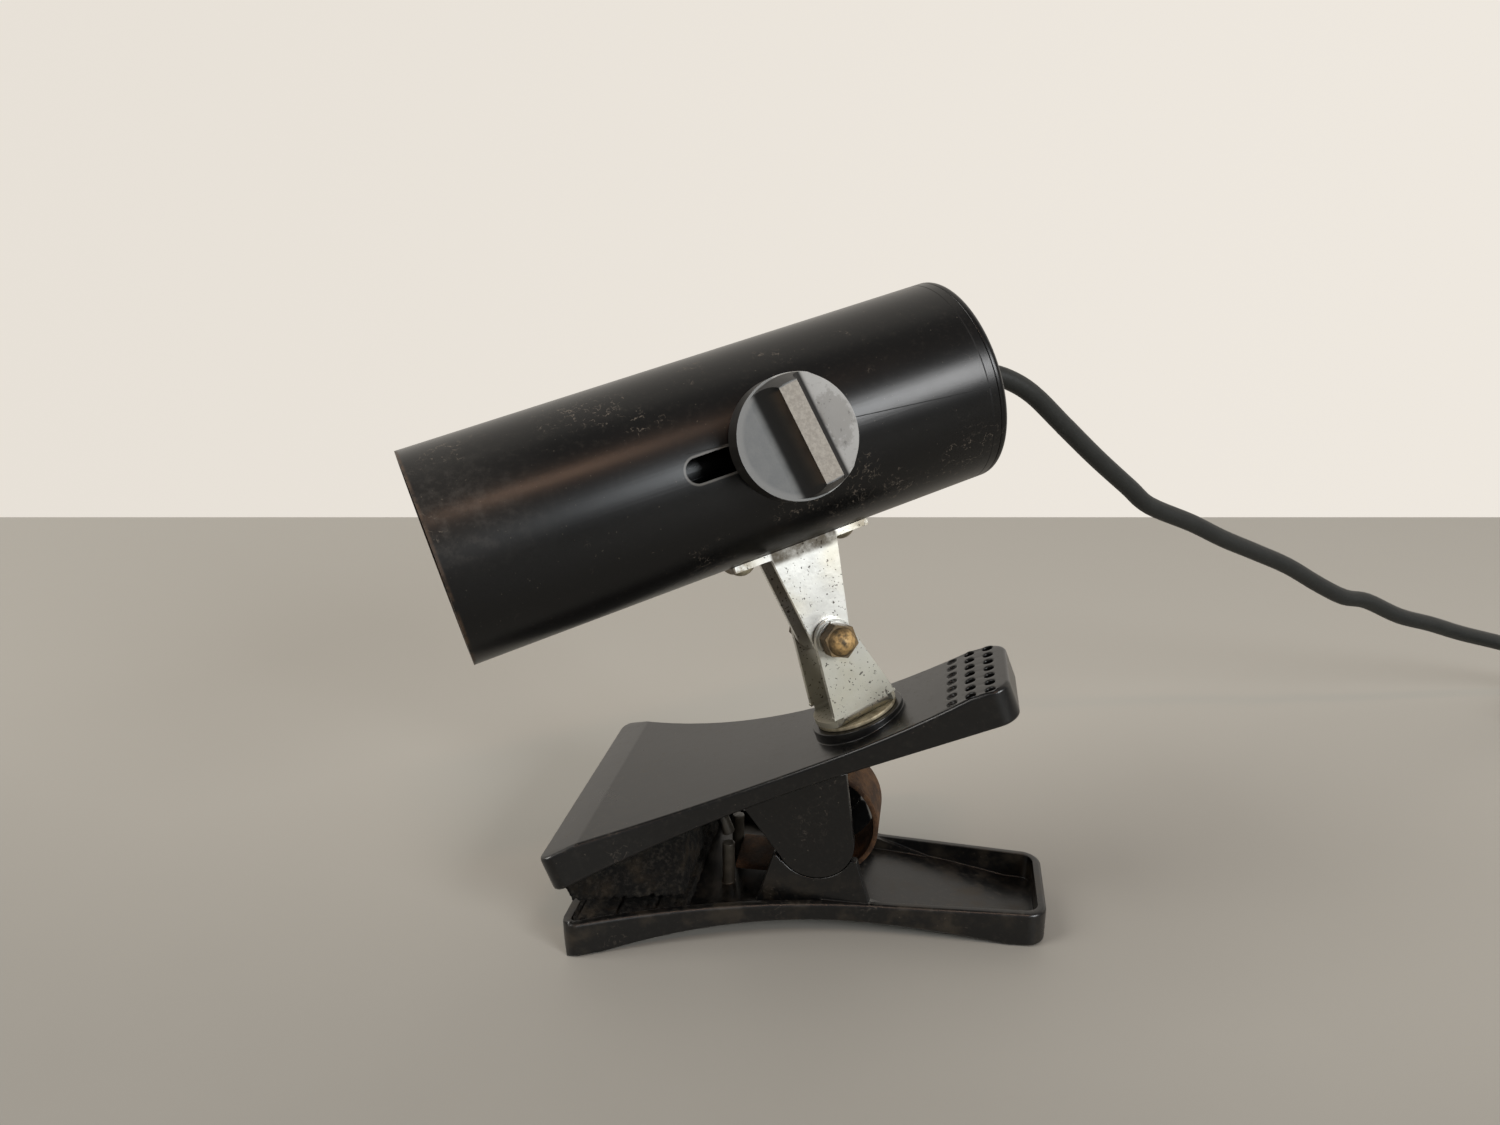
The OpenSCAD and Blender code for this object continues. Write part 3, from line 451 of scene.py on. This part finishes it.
fulcrum = Vector(joints["jaw_open"]["pos_m"])
JAW_ANGLE = math.radians(21.64)
arm_along = Vector((math.cos(JAW_ANGLE), 0, math.sin(JAW_ANGLE)))
arm_out = Vector((-math.sin(JAW_ANGLE), 0, math.cos(JAW_ANGLE)))
arms = [
    round_arm("lower_arm", "lower_arm_worn", Vector((1, 0, 0)), Vector((0, 0, -1)), 0),
    round_arm("upper_arm", "upper_arm_worn", arm_along, arm_out, 1),
]
arm_black = black_plastic("arm_black_moulded", 0.8, 0.3, 0.06, 0.46)
arm_low = 1 - arm_black.along((0, 0, 1), (0, 0, 0)).between(0.003, 0.02)
arm_dirt = arm_black.noise(120, 5, 0.65, seed=13).between(0.45, 0.7) * arm_low
arm_black.set(Roughness=arm_black.gloss + 0.18 * arm_dirt)
put_on(arm_black, *arms)
post_x = arm_black.along((1, 0, 0), (0.0288, 0, 0))
post_y = abs(arm_black.along((0, 1, 0), (0, 0, 0))) - 0.0066
post_dust = (1 - (post_x * post_x + post_y * post_y).between(2.2e-6, 4e-6)) * arm_black.noise(300, 3, seed=21)
post_dust = post_dust * (1 - arm_black.along((0, 0, 1), (0, 0, 0)).between(0.022, 0.025))
arm_tone = arm_black.mix(0.55 * arm_dirt, arm_black.tone, (0.035, 0.026, 0.016))
arm_black.set(Base_Color=arm_black.mix(post_dust, arm_tone, (0.10, 0.086, 0.066)))

# Jaw pads: soft ribbed rubber between the walls of each jaw, crumbling and full of dust.
# Each is the solid's own shape, made into a fine skin and roughened.
SKIN_CELL = 0.42 * MM


def crumble(node_name, name, body, depth):
    """A rough, worn copy of a rubber solid."""
    pad = own_copy(node_name, name)
    skin = pad.modifiers.new("skin", "REMESH")
    skin.mode = "VOXEL"
    skin.voxel_size = SKIN_CELL
    for size, share in ((0.0022, 1.0), (0.0007, 0.7)):
        grain = bpy.data.textures.new(name + "_grain", "CLOUDS")
        grain.noise_scale = size
        grain.noise_depth = 2
        rough = pad.modifiers.new("rough", "DISPLACE")
        rough.texture = grain
        rough.strength = depth * share
        rough.mid_level = 0.62
    apply_all(pad)
    bpy.ops.object.shade_smooth()
    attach(pad, body)
    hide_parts(node_name)
    return pad


pads = [
    crumble("upper_jaw_pad", "upper_pad_worn", "upper_arm", 0.7 * MM),
    crumble("lower_jaw_pad", "lower_pad_worn", "lower_arm", 0.6 * MM),
]
rubber = Finish("pad_rubber_dusty")
rubber_lint = rubber.noise(900, 5, 0.7).between(0.45, 0.75)
rubber_tan = rubber.noise(180, 4, 0.6, seed=5).between(0.45, 0.7)
rubber_dark = rubber.mix(rubber_lint, (0.003, 0.0028, 0.0025), (0.026, 0.023, 0.019))
rubber.set(Base_Color=rubber.mix(rubber_tan * 0.35, rubber_dark, (0.04, 0.029, 0.018)))
rubber.set(Roughness=0.85 + 0.12 * rubber_lint, Specular_IOR_Level=0.15)
rubber.bump(rubber.noise(1600, 4, 0.7), 0.7, 0.0004)
put_on(rubber, *pads)

# Clamp spring: a strip of spring steel bent round the fulcrum, rusted brown all over.
# Its legs press the two arms apart at the handles, and it is bent round the fulcrum so that one leg lies along
# each arm.
STRIP_R = 13.3 * MM
STRIP_L = 20 * MM
STRIP_W = 14 * MM
STRIP_T = 1.2 * MM
LEG_STEPS = 12
BOW_STEPS = 56

bpy.ops.object.select_all(action="DESELECT")
bpy.ops.mesh.primitive_grid_add(x_subdivisions=LEG_STEPS, y_subdivisions=8, size=1)
strip = bpy.context.view_layer.objects.active
strip.name = "spring_strip"
leg_at = Matrix.Translation((fulcrum.x - STRIP_L / 2, 0, fulcrum.z - STRIP_R))
strip.data.transform(leg_at @ Matrix.Diagonal((STRIP_L, STRIP_W, 1, 1)))
select_verts(strip.data, lambda co: co.x > fulcrum.x - 1e-5)
bpy.ops.object.mode_set(mode="EDIT")
bpy.ops.mesh.select_mode(type="EDGE")
bpy.ops.mesh.spin(steps=BOW_STEPS, angle=math.pi + JAW_ANGLE, center=fulcrum, axis=(0, 1, 0))
for step in range(LEG_STEPS):
    bpy.ops.mesh.extrude_region_move(TRANSFORM_OT_translate={"value": -arm_along * STRIP_L / LEG_STEPS})
bpy.ops.mesh.select_all(action="SELECT")
bpy.ops.mesh.remove_doubles(threshold=1e-6)
bpy.ops.mesh.normals_make_consistent(inside=False)
bpy.ops.object.mode_set(mode="OBJECT")
sheet = strip.modifiers.new("sheet", "SOLIDIFY")
sheet.thickness = STRIP_T
sheet.offset = 0
bpy.ops.object.modifier_apply(modifier="sheet")
edge = strip.modifiers.new("edge", "BEVEL")
edge.width = 0.25 * MM
edge.segments = 2
bpy.ops.object.modifier_apply(modifier="edge")
bpy.ops.object.shade_smooth_by_angle(angle=math.radians(40))
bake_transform(strip)
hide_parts("clamp_spring")
rust = Finish("spring_rust", 0.1)
rust_patch = rust.noise(220, 5, 0.65)
rust_grain = rust.noise(1400, 4, 0.7, seed=2)
rust_tone = rust.mix(rust_patch.between(0.35, 0.7), (0.028, 0.015, 0.009), (0.115, 0.058, 0.027))
rust.set(Base_Color=rust.mix(rust_grain.between(0.55, 0.75) * 0.5, rust_tone, (0.13, 0.085, 0.05)))
rust.set(Roughness=0.65 + 0.3 * rust_patch, Specular_IOR_Level=0.25)
rust.bump(rust_grain + rust_patch, 0.4, 0.0004)
put_on(rust, strip)

# Swivel and tilt brackets: bright zinc-plated sheet steel, bent and riveted.
# The plate is pitted with dark specks, yellowed in places and stained brown in the folds.


def zinc_plate(name, stain, inside, pale):
    """Zinc plate: pitted, yellowed, darker and duller in a band just under the tube, grimy at its ends, and
    brown inside its folds.
    """
    finish = Finish(name, 1.0)
    cloud = finish.noise(150, 5, 0.6)
    pitted = finish.noise(210, 2, seed=8).between(0.36, 0.5)
    pit = finish.noise(1400, 2, 0.5, seed=6).between(0.63, 0.67) * pitted
    yellow = finish.noise(95, 3, 0.5, seed=3).between(0.4, 0.68)
    fold = 1 - abs(finish.along(tilt_dir, pivot)).between(inside - 0.0002, inside)
    metal = finish.mix(yellow * 0.55, (pale, pale, 0.95 * pale), (0.91 * pale, 0.85 * pale, 0.67 * pale))
    metal = finish.mix(cloud.between(0.55, 0.8) * stain, metal, (0.26, 0.19, 0.11))
    metal = finish.mix(fold * (0.55 + 0.4 * cloud), metal, (0.085, 0.055, 0.032))
    up = finish.along(head_up, pivot)
    across = abs(finish.along(axis_dir, pivot))
    # A darker, duller band just under the tube.
    under_tube_band = (up + 0.0011 * cloud).between(0.0196, 0.0214)
    under_tube_band = under_tube_band * (1 - across.between(0.0075, 0.0085))
    under_tube_band = under_tube_band * (0.55 + 0.45 * finish.noise(260, 5, 0.7, seed=12).between(0.3, 0.6))
    metal = finish.mix((1 - up.between(-0.012, 0.004)) * 0.5, metal, (1.02 * pale, 0.99 * pale, 0.78 * pale))
    metal = finish.mix(under_tube_band * 0.95, metal, (0.07, 0.052, 0.026))
    ends = across.between(0.0105, 0.0145) * finish.noise(330, 4, 0.6, seed=14).between(0.38, 0.6)
    metal = finish.mix(ends * 0.75, metal, (0.17, 0.13, 0.07))
    finish.set(Base_Color=finish.mix(pit * 0.92, metal, (0.03, 0.022, 0.015)))
    finish.set(Roughness=0.26 + 0.16 * cloud + 0.3 * pit + 0.25 * fold + 0.3 * under_tube_band)
    finish.set(Metallic=(1 - 0.85 * pit) * (1 - 0.5 * fold) * (1 - 0.9 * under_tube_band))
    finish.bump(finish.noise(420, 3) - 0.7 * pit, 0.1, 0.0003)
    return finish


fork_zinc = zinc_plate("fork_zinc", 0.4, 0.0067, 0.52)
strap_zinc = zinc_plate("strap_zinc", 0.3, 0.0050, 0.68)
zinc_old = zinc_plate("fastener_zinc_stained", 0.9, 0.0003, 0.5)
put_on(fork_zinc, nodes["swivel_bracket"])
put_on(strap_zinc, nodes["head_bracket"])
put_on(zinc_old, nodes["swivel_rivet"], nodes["pivot_washers"])
zinc_dull = Finish("fastener_zinc_dull", 0.55)
dull_cloud = zinc_dull.noise(330, 5, 0.65)
zinc_dull.set(Base_Color=zinc_dull.mix(dull_cloud.between(0.3, 0.7), (0.14, 0.115, 0.07), (0.46, 0.41, 0.29)))
zinc_dull.set(Roughness=0.42 + 0.25 * dull_cloud)
zinc_dull.bump(dull_cloud, 0.15, 0.0003)
put_on(zinc_dull, nodes["swivel_washer"], nodes["bracket_rivets"])
put_on(zinc_old, nodes["grip_screws"], nodes["sleeve_nut"], nodes["knob_stud"])
for name in ("swivel_bracket", "head_bracket"):
    soften(nodes[name], 0.22 * MM, 40, 2)
for name in ("swivel_rivet", "swivel_washer", "pivot_washers", "bracket_rivets"):
    soften(nodes[name], 0.15 * MM, 40, 2)

# Tilt bolt and dome nut: brass-plated steel gone brown, with a lighter golden crown.
nut_brown = Finish("nut_brass_brown", 0.45)
nut_cloud = nut_brown.noise(320, 4, 0.6)
nut_grime = nut_brown.noise(900, 3, 0.6, seed=5).between(0.45, 0.7)
nut_crown = abs(nut_brown.along(tilt_dir, pivot)).between(0.0119, 0.0141)
nut_light = nut_cloud.between(0.34, 0.62) * (0.12 + 0.88 * nut_crown)
nut_tone = nut_brown.mix(nut_light, (0.075, 0.055, 0.03), (0.6, 0.39, 0.16))
nut_brown.set(Base_Color=nut_brown.mix(nut_grime * 0.5, nut_tone, (0.06, 0.042, 0.024)))
nut_brown.set(Roughness=0.52 + 0.25 * nut_grime)
nut_brown.bump(nut_cloud + nut_grime, 0.2, 0.0003)
put_on(nut_brown, nodes["dome_nut"], nodes["pivot_bolt"])
soften(nodes["dome_nut"], 0.6 * MM, 30, 4)
soften(nodes["pivot_bolt"], 0.25 * MM, 30, 3)

# Shade and rear cap: a moulded black tube with a pressed-in cap, satin, dusty on top and scuffed.
# A hairline from the mould runs back from the slot, and the front edge is rubbed brown.
TUBE_R = 23 * MM
TUBE_L = 120.5 * MM
TUBE_WALL = 1.8 * MM
SLOT_R = 2.6 * MM
SLOT_FRONT, SLOT_BACK = -7.65 * MM, 15.15 * MM
knob_out = Vector(joints["knob_turn"]["axis"])
knob_up = knob_out.cross(axis_dir)
tube_front = tube_rear - axis_dir * TUBE_L
tube_black = black_plastic("tube_black_moulded", 0.2, 0.8, 0.03, 0.3)
tube_s = tube_black.along(axis_dir, tube_front)
seam_off = tube_black.along(knob_up, tube_front) + 0.11 * (tube_s - 0.0855)
seam = (1 - abs(seam_off).between(0.00004, 0.00013)) * tube_s.between(0.05, 0.052)
edge_brown = (1 - tube_s.between(0.0002, 0.0008)) * tube_black.noise(500, 4, seed=15).between(0.3, 0.6)
tube_v = tube_black.along(knob_up, tube_front)
slot_near = tube_black.node("Math", {"operation": "MINIMUM"}, {0: tube_s - 0.0526, 1: 0})
slot_off = tube_black.node("Math", {"operation": "SQRT"}, {0: slot_near * slot_near + tube_v * tube_v})
# Painted highlight: a pale line along the slot's rounded outer edge, partly wear.
slot_rim_highlight = (1 - abs(slot_off - 0.0028).between(0.0001, 0.0004)) * tube_black.facing(knob_out).between(0.4, 0.6)
slot_rim_highlight = slot_rim_highlight * (1 - tube_s.between(0.078, 0.079))
# A lighter patch at the front, level with the slot: partly dust, partly a painted reflection.
front_dust_and_sheen = (1 - tube_s.between(0.004, 0.03)) * (1 - abs(tube_v - 0.007).between(0.004, 0.014))
front_dust_and_sheen = front_dust_and_sheen * (0.35 + 0.65 * tube_black.noise(420, 5, 0.7, seed=17).between(0.42, 0.7))
tube_black.tone = tube_black.mix(front_dust_and_sheen * 0.5, tube_black.tone, (0.055, 0.05, 0.045))
tube_tone = tube_black.mix(edge_brown * 0.6, tube_black.tone, (0.07, 0.042, 0.024))
cap_line = 1 - abs(tube_s - 0.1186).between(0.00006, 0.0002)
tube_tone = tube_black.mix(cap_line * 0.9, tube_tone, (0.0008, 0.0008, 0.0008))
tube_tone = tube_black.mix(slot_rim_highlight * 0.7, tube_tone, (0.13, 0.125, 0.115))
tube_black.set(Base_Color=tube_black.mix(seam * 0.9, tube_tone, (0.001, 0.001, 0.001)))
tube_black.set(Roughness=tube_black.gloss + 0.4 * seam + 0.3 * cap_line + 0.2 * edge_brown)
soften(nodes["rear_cap"], 0.2 * MM, 50, 2)
bpy.ops.object.select_all(action="DESELECT")
bpy.ops.mesh.primitive_cylinder_add(vertices=48, radius=SLOT_R, depth=16 * MM)
slot_tool = bpy.context.view_layer.objects.active
slot_tool.data.transform(Matrix.Translation((TUBE_R, 0, 0)) @ Matrix.Rotation(math.radians(90), 4, "Y"))
for vertex in slot_tool.data.vertices:
    vertex.co.z += SLOT_FRONT if vertex.co.z < 0 else SLOT_BACK
bpy.ops.object.select_all(action="DESELECT")
bpy.ops.mesh.primitive_cylinder_add(vertices=192, radius=TUBE_R, depth=TUBE_L, end_fill_type="NOTHING")
tube = bpy.context.view_layer.objects.active
tube.name = "tube_skin"
wall = tube.modifiers.new("wall", "SOLIDIFY")
wall.thickness = TUBE_WALL
wall.offset = -1
slot = tube.modifiers.new("slot", "BOOLEAN")
slot.object = slot_tool
slot.solver = "EXACT"
rim = tube.modifiers.new("rim", "BEVEL")
rim.width = 0.45 * MM
rim.segments = 3
rim.limit_method = "ANGLE"
rim.angle_limit = math.radians(40)
rim.harden_normals = True
bpy.ops.object.shade_smooth()
apply_all(tube)
bpy.data.objects.remove(slot_tool)
tube_turn = Matrix((knob_out, axis_dir.cross(knob_out), axis_dir)).transposed().to_4x4()
tube.data.transform(Matrix.Translation((tube_front + tube_rear) / 2) @ tube_turn)
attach(tube, "head")
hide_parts("shade_tube")
put_on(tube_black, tube, nodes["rear_cap"])
bush_black = black_plastic("bush_black_rubber", 0.6, 0.1)
put_on(bush_black, nodes["cord_bush"], nodes["cord_grip"], nodes["coil_tie"], nodes["plug_body"])
soften(nodes["plug_body"], 1.2 * MM, 25, 3)
soften(nodes["coil_tie"], 0.2 * MM, 40, 2)

# Lampholder: black moulded body on a sliding ring, with a brass screw sleeve and terminals.
# The leads behind it are brown, and the pins of the plug are nickelled.
holder_black = black_plastic("holder_black_matt", 0.9, 0.2)
put_on(holder_black, nodes["holder_sleeve"], nodes["lampholder_shell"])
brass = Finish("contact_brass", 1.0)
brass_haze = brass.noise(300, 4)
brass.set(Base_Color=brass.mix(brass_haze, (0.52, 0.35, 0.14), (0.68, 0.5, 0.24)))
brass.set(Roughness=0.25 + 0.25 * brass_haze)
brass.bump(brass.noise(700, 3), 0.1, 0.0002)
put_on(brass, nodes["lampholder_liner"], nodes["centre_contact"], nodes["terminal_screws"])
nickel = Finish("pin_nickel", 1.0)
nickel_haze = nickel.noise(380, 4)
nickel.set(Base_Color=nickel.mix(nickel_haze, (0.6, 0.59, 0.56), (0.72, 0.71, 0.68)))
nickel.set(Roughness=0.2 + 0.2 * nickel_haze)
put_on(nickel, nodes["plug_pins"])
soften(nodes["plug_pins"], 0.5 * MM, 40, 3)
lead_brown = Finish("inner_lead_brown")
lead_haze = lead_brown.noise(500, 3)
lead_brown.set(Base_Color=lead_brown.mix(lead_haze, (0.10, 0.05, 0.025), (0.17, 0.09, 0.045)))
lead_brown.set(Roughness=0.45 + 0.2 * lead_haze)
put_on(lead_brown, nodes["inner_leads"])

# Focusing knob: grey satin moulding with a hollow-sided grip bar across it, its top rubbed pale.
# The face is bloomed grey. Right of the bar it is worn and pitted and has painted light; left of the bar it
# has the bar's painted shade and a painted highlight round its rim. The bar's near flank stays dark and brown.
KNOB_H = 29.7 * MM
BAR_H = 4.6 * MM
BAR_TURN = math.radians(8.8)
BAR_HALF = 7 * MM
BAR_REACH = 12.55 * MM
KNOB_FROM_FRONT = 72.1 * MM
knob_at = tube_front + axis_dir * KNOB_FROM_FRONT
bar_side = axis_dir * math.cos(BAR_TURN) + knob_up * math.sin(BAR_TURN)
bar_along = knob_out.cross(bar_side)
knob = own_copy("focus_knob", "knob_worn")
for vertex in knob.data.vertices:
    place = vertex.co - knob_at
    rise = (place.dot(knob_out) - KNOB_H) / BAR_H
    flat = Vector((place.dot(bar_side), place.dot(bar_along)))
    if rise > 0.001 or (rise > -0.001 and abs(flat.x) < BAR_HALF and flat.length < BAR_REACH):
        vertex.co += bar_side * (0.7 + 0.5 * rise) * MM
soften(knob, 0.4 * MM, 30, 3)
apply_all(knob)
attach(knob, "knob")
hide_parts("focus_knob")
knob_grey = Finish("knob_grey_satin")
knob_cloud = knob_grey.noise(260, 5, 0.65)
knob_grain = knob_grey.noise(1300, 4, 0.7, seed=3)
knob_u = knob_grey.along(bar_side, knob_at)
knob_v = knob_grey.along(bar_along, knob_at)
knob_rise = knob_grey.along(knob_out, knob_at + knob_out * KNOB_H)
knob_r = knob_grey.node("Math", {"operation": "SQRT"}, {0: knob_u * knob_u + knob_v * knob_v})
# Painted highlight: a pale line round the outer edge of the face.
knob_rim_highlight = knob_r.between(0.0108, 0.0118)
worn_u = knob_u - 0.0085
worn_edge = 5e-5 * (knob_grey.noise(420, 5, 0.7, seed=6) - 0.5)
knob_patch = 1 - (worn_u * worn_u + 0.4 * knob_v * knob_v + worn_edge).between(0.8e-5, 1.6e-5)
knob_pit = knob_grey.noise(800, 3, 0.6, seed=9).between(0.6, 0.68) * (0.3 + 0.7 * knob_patch)
# Right of the bar: painted light, under the worn patch and the pits.
knob_lit_worn_face = knob_grey.mix(knob_patch * 0.8, (0.30, 0.30, 0.29), (0.185, 0.18, 0.168))
knob_lit_worn_face = knob_grey.mix(knob_pit * 0.6, knob_lit_worn_face, (0.08, 0.078, 0.07))
# Left of the bar: the bar's painted shade, in a cloudy tone.
knob_shaded_face = knob_grey.mix(knob_cloud.between(0.3, 0.7), (0.085, 0.09, 0.092), (0.115, 0.12, 0.12))
knob_shaded_face = knob_grey.mix(knob_rim_highlight * 0.6, knob_shaded_face, (0.17, 0.172, 0.168))
knob_face = knob_grey.mix(knob_u.between(0, 0.001), knob_shaded_face, knob_lit_worn_face)
knob_strip = knob_grey.mix(knob_grain.between(0.35, 0.65), (0.2, 0.18, 0.152), (0.275, 0.254, 0.217))
knob_top = knob_rise.between(0.0042, 0.0045) * (1 - abs(knob_v).between(0.0100, 0.0104))
knob_flank = knob_rise.between(0.0001, 0.0005) * (1 - knob_top)
knob_flank = 1 - (1 - knob_flank) * (1 - knob_grey.facing(-bar_side).between(0.12, 0.4))
knob_side = 1 - knob_rise.between(-0.0006, -0.0003)
knob_brown = knob_rise.between(0.001, 0.004) * knob_cloud * (1 - abs(knob_v).between(0.0095, 0.0102))
knob_dark = knob_grey.mix(knob_brown, (0.006, 0.006, 0.006), (0.055, 0.037, 0.023))
knob_tone = knob_grey.mix(knob_top, knob_face, knob_strip)
knob_tone = knob_grey.mix(knob_flank, knob_tone, knob_dark)
knob_grey.set(Base_Color=knob_grey.mix(knob_side * 0.9, knob_tone, (0.012, 0.011, 0.010)))
knob_grey.set(Roughness=0.42 + 0.15 * knob_cloud - 0.1 * knob_flank, Specular_IOR_Level=0.35)
knob_grey.bump(knob_cloud + 0.4 * knob_grain - 0.6 * knob_pit * knob_u.between(0, 0.001), 0.14, 0.0003)
put_on(knob_grey, knob)

# Floor, backdrop and light: a pale grey table that ends at an off-white wall, in a dim soft room.
# The wall is the world's own colour to the back, so that nothing stands in the way of a view from there.
# The light comes from the left, from a window low on the right, and from two dim sources in front.


class Surroundings(Finish):
    """The world, coloured by direction."""

    def __init__(self, name):
        world = bpy.data.worlds.new(name)
        bpy.context.scene.world = world
        world.use_nodes = True
        self.tree = world.node_tree
        self.shader = self.tree.nodes["Background"]
        self.place = self.node("TexCoord", {}, {}, output="Generated")


WALL_TURN = math.radians(9.67)
WALL_AT = 0.349
FLOOR_SIZE = 12
ground = Finish("floor_pale_grey")
ground_haze = ground.noise(9, 4)
# Painted shade: the floor's colour darkens towards the front, where less light falls.
ground_shade_fade = ground.along((0, 1, 0), (0, -0.13, 0)).between(0, 0.24)
ground_shaded_tone = ground.mix(ground_shade_fade, (0.205, 0.197, 0.178), (0.305, 0.291, 0.262))
ground.set(Base_Color=ground.mix(ground_haze * 0.3, ground_shaded_tone, (0.33, 0.315, 0.285)))
ground.set(Roughness=0.5 + 0.15 * ground_haze)
bpy.ops.object.select_all(action="DESELECT")
bpy.ops.mesh.primitive_plane_add(size=FLOOR_SIZE)
floor = bpy.context.view_layer.objects.active
floor.name = "floor"
floor_shift = Matrix.Translation((0, -FLOOR_SIZE / 2, 0))
floor.data.transform(Matrix.Translation((0, WALL_AT, 0)) @ Matrix.Rotation(WALL_TURN, 4, "Z") @ floor_shift)
put_on(ground, floor)

room = Surroundings("room")
room_back = room.along((-math.sin(WALL_TURN), math.cos(WALL_TURN), 0), (0, 0, 0))
room_side = room.along((math.cos(WALL_TURN), math.sin(WALL_TURN), 0), (0, 0, 0))
room_up = room.along((0, 0, 1), (0, 0, 0))
wall_tone = room.mix(room_side.between(-0.75, 0.75), (0.80, 0.75, 0.68), (0.86, 0.81, 0.74))
near_tone = room.mix(room_up.between(-0.06, 0), (0.36, 0.335, 0.285), (0.24, 0.235, 0.227))
room.set(Color=room.mix(room_back.between(0, 0.25), near_tone, wall_tone))
LAMP_MIDDLE = Vector((0.03, 0, 0.08))


def soft_light(name, place, size, power, colour=(1, 1, 1)):
    """A rectangular light that faces the middle of the lamp."""
    lamp = bpy.data.objects.new(name, bpy.data.lights.new(name, "AREA"))
    lamp.data.shape = "RECTANGLE"
    lamp.data.size, lamp.data.size_y = size
    lamp.data.energy = power
    lamp.data.color = colour
    lamp.location = place
    lamp.rotation_euler = (LAMP_MIDDLE - Vector(place)).to_track_quat("-Z", "Y").to_euler()
    bpy.context.collection.objects.link(lamp)


soft_light("left_window", (-1.7, -0.75, 1.7), (1.5, 1.5), 56, (1, 0.975, 0.93))
soft_light("right_window", (1.03, -0.67, 0.61), (0.3, 0.42), 8.4)
soft_light("cool_front", (0.87, -0.88, 0.59), (0.26, 0.3), 4.0, (0.9, 0.96, 1))
soft_light("warm_front", (0.31, -0.72, 1.18), (0.28, 0.07), 1.9, (1, 0.62, 0.42))
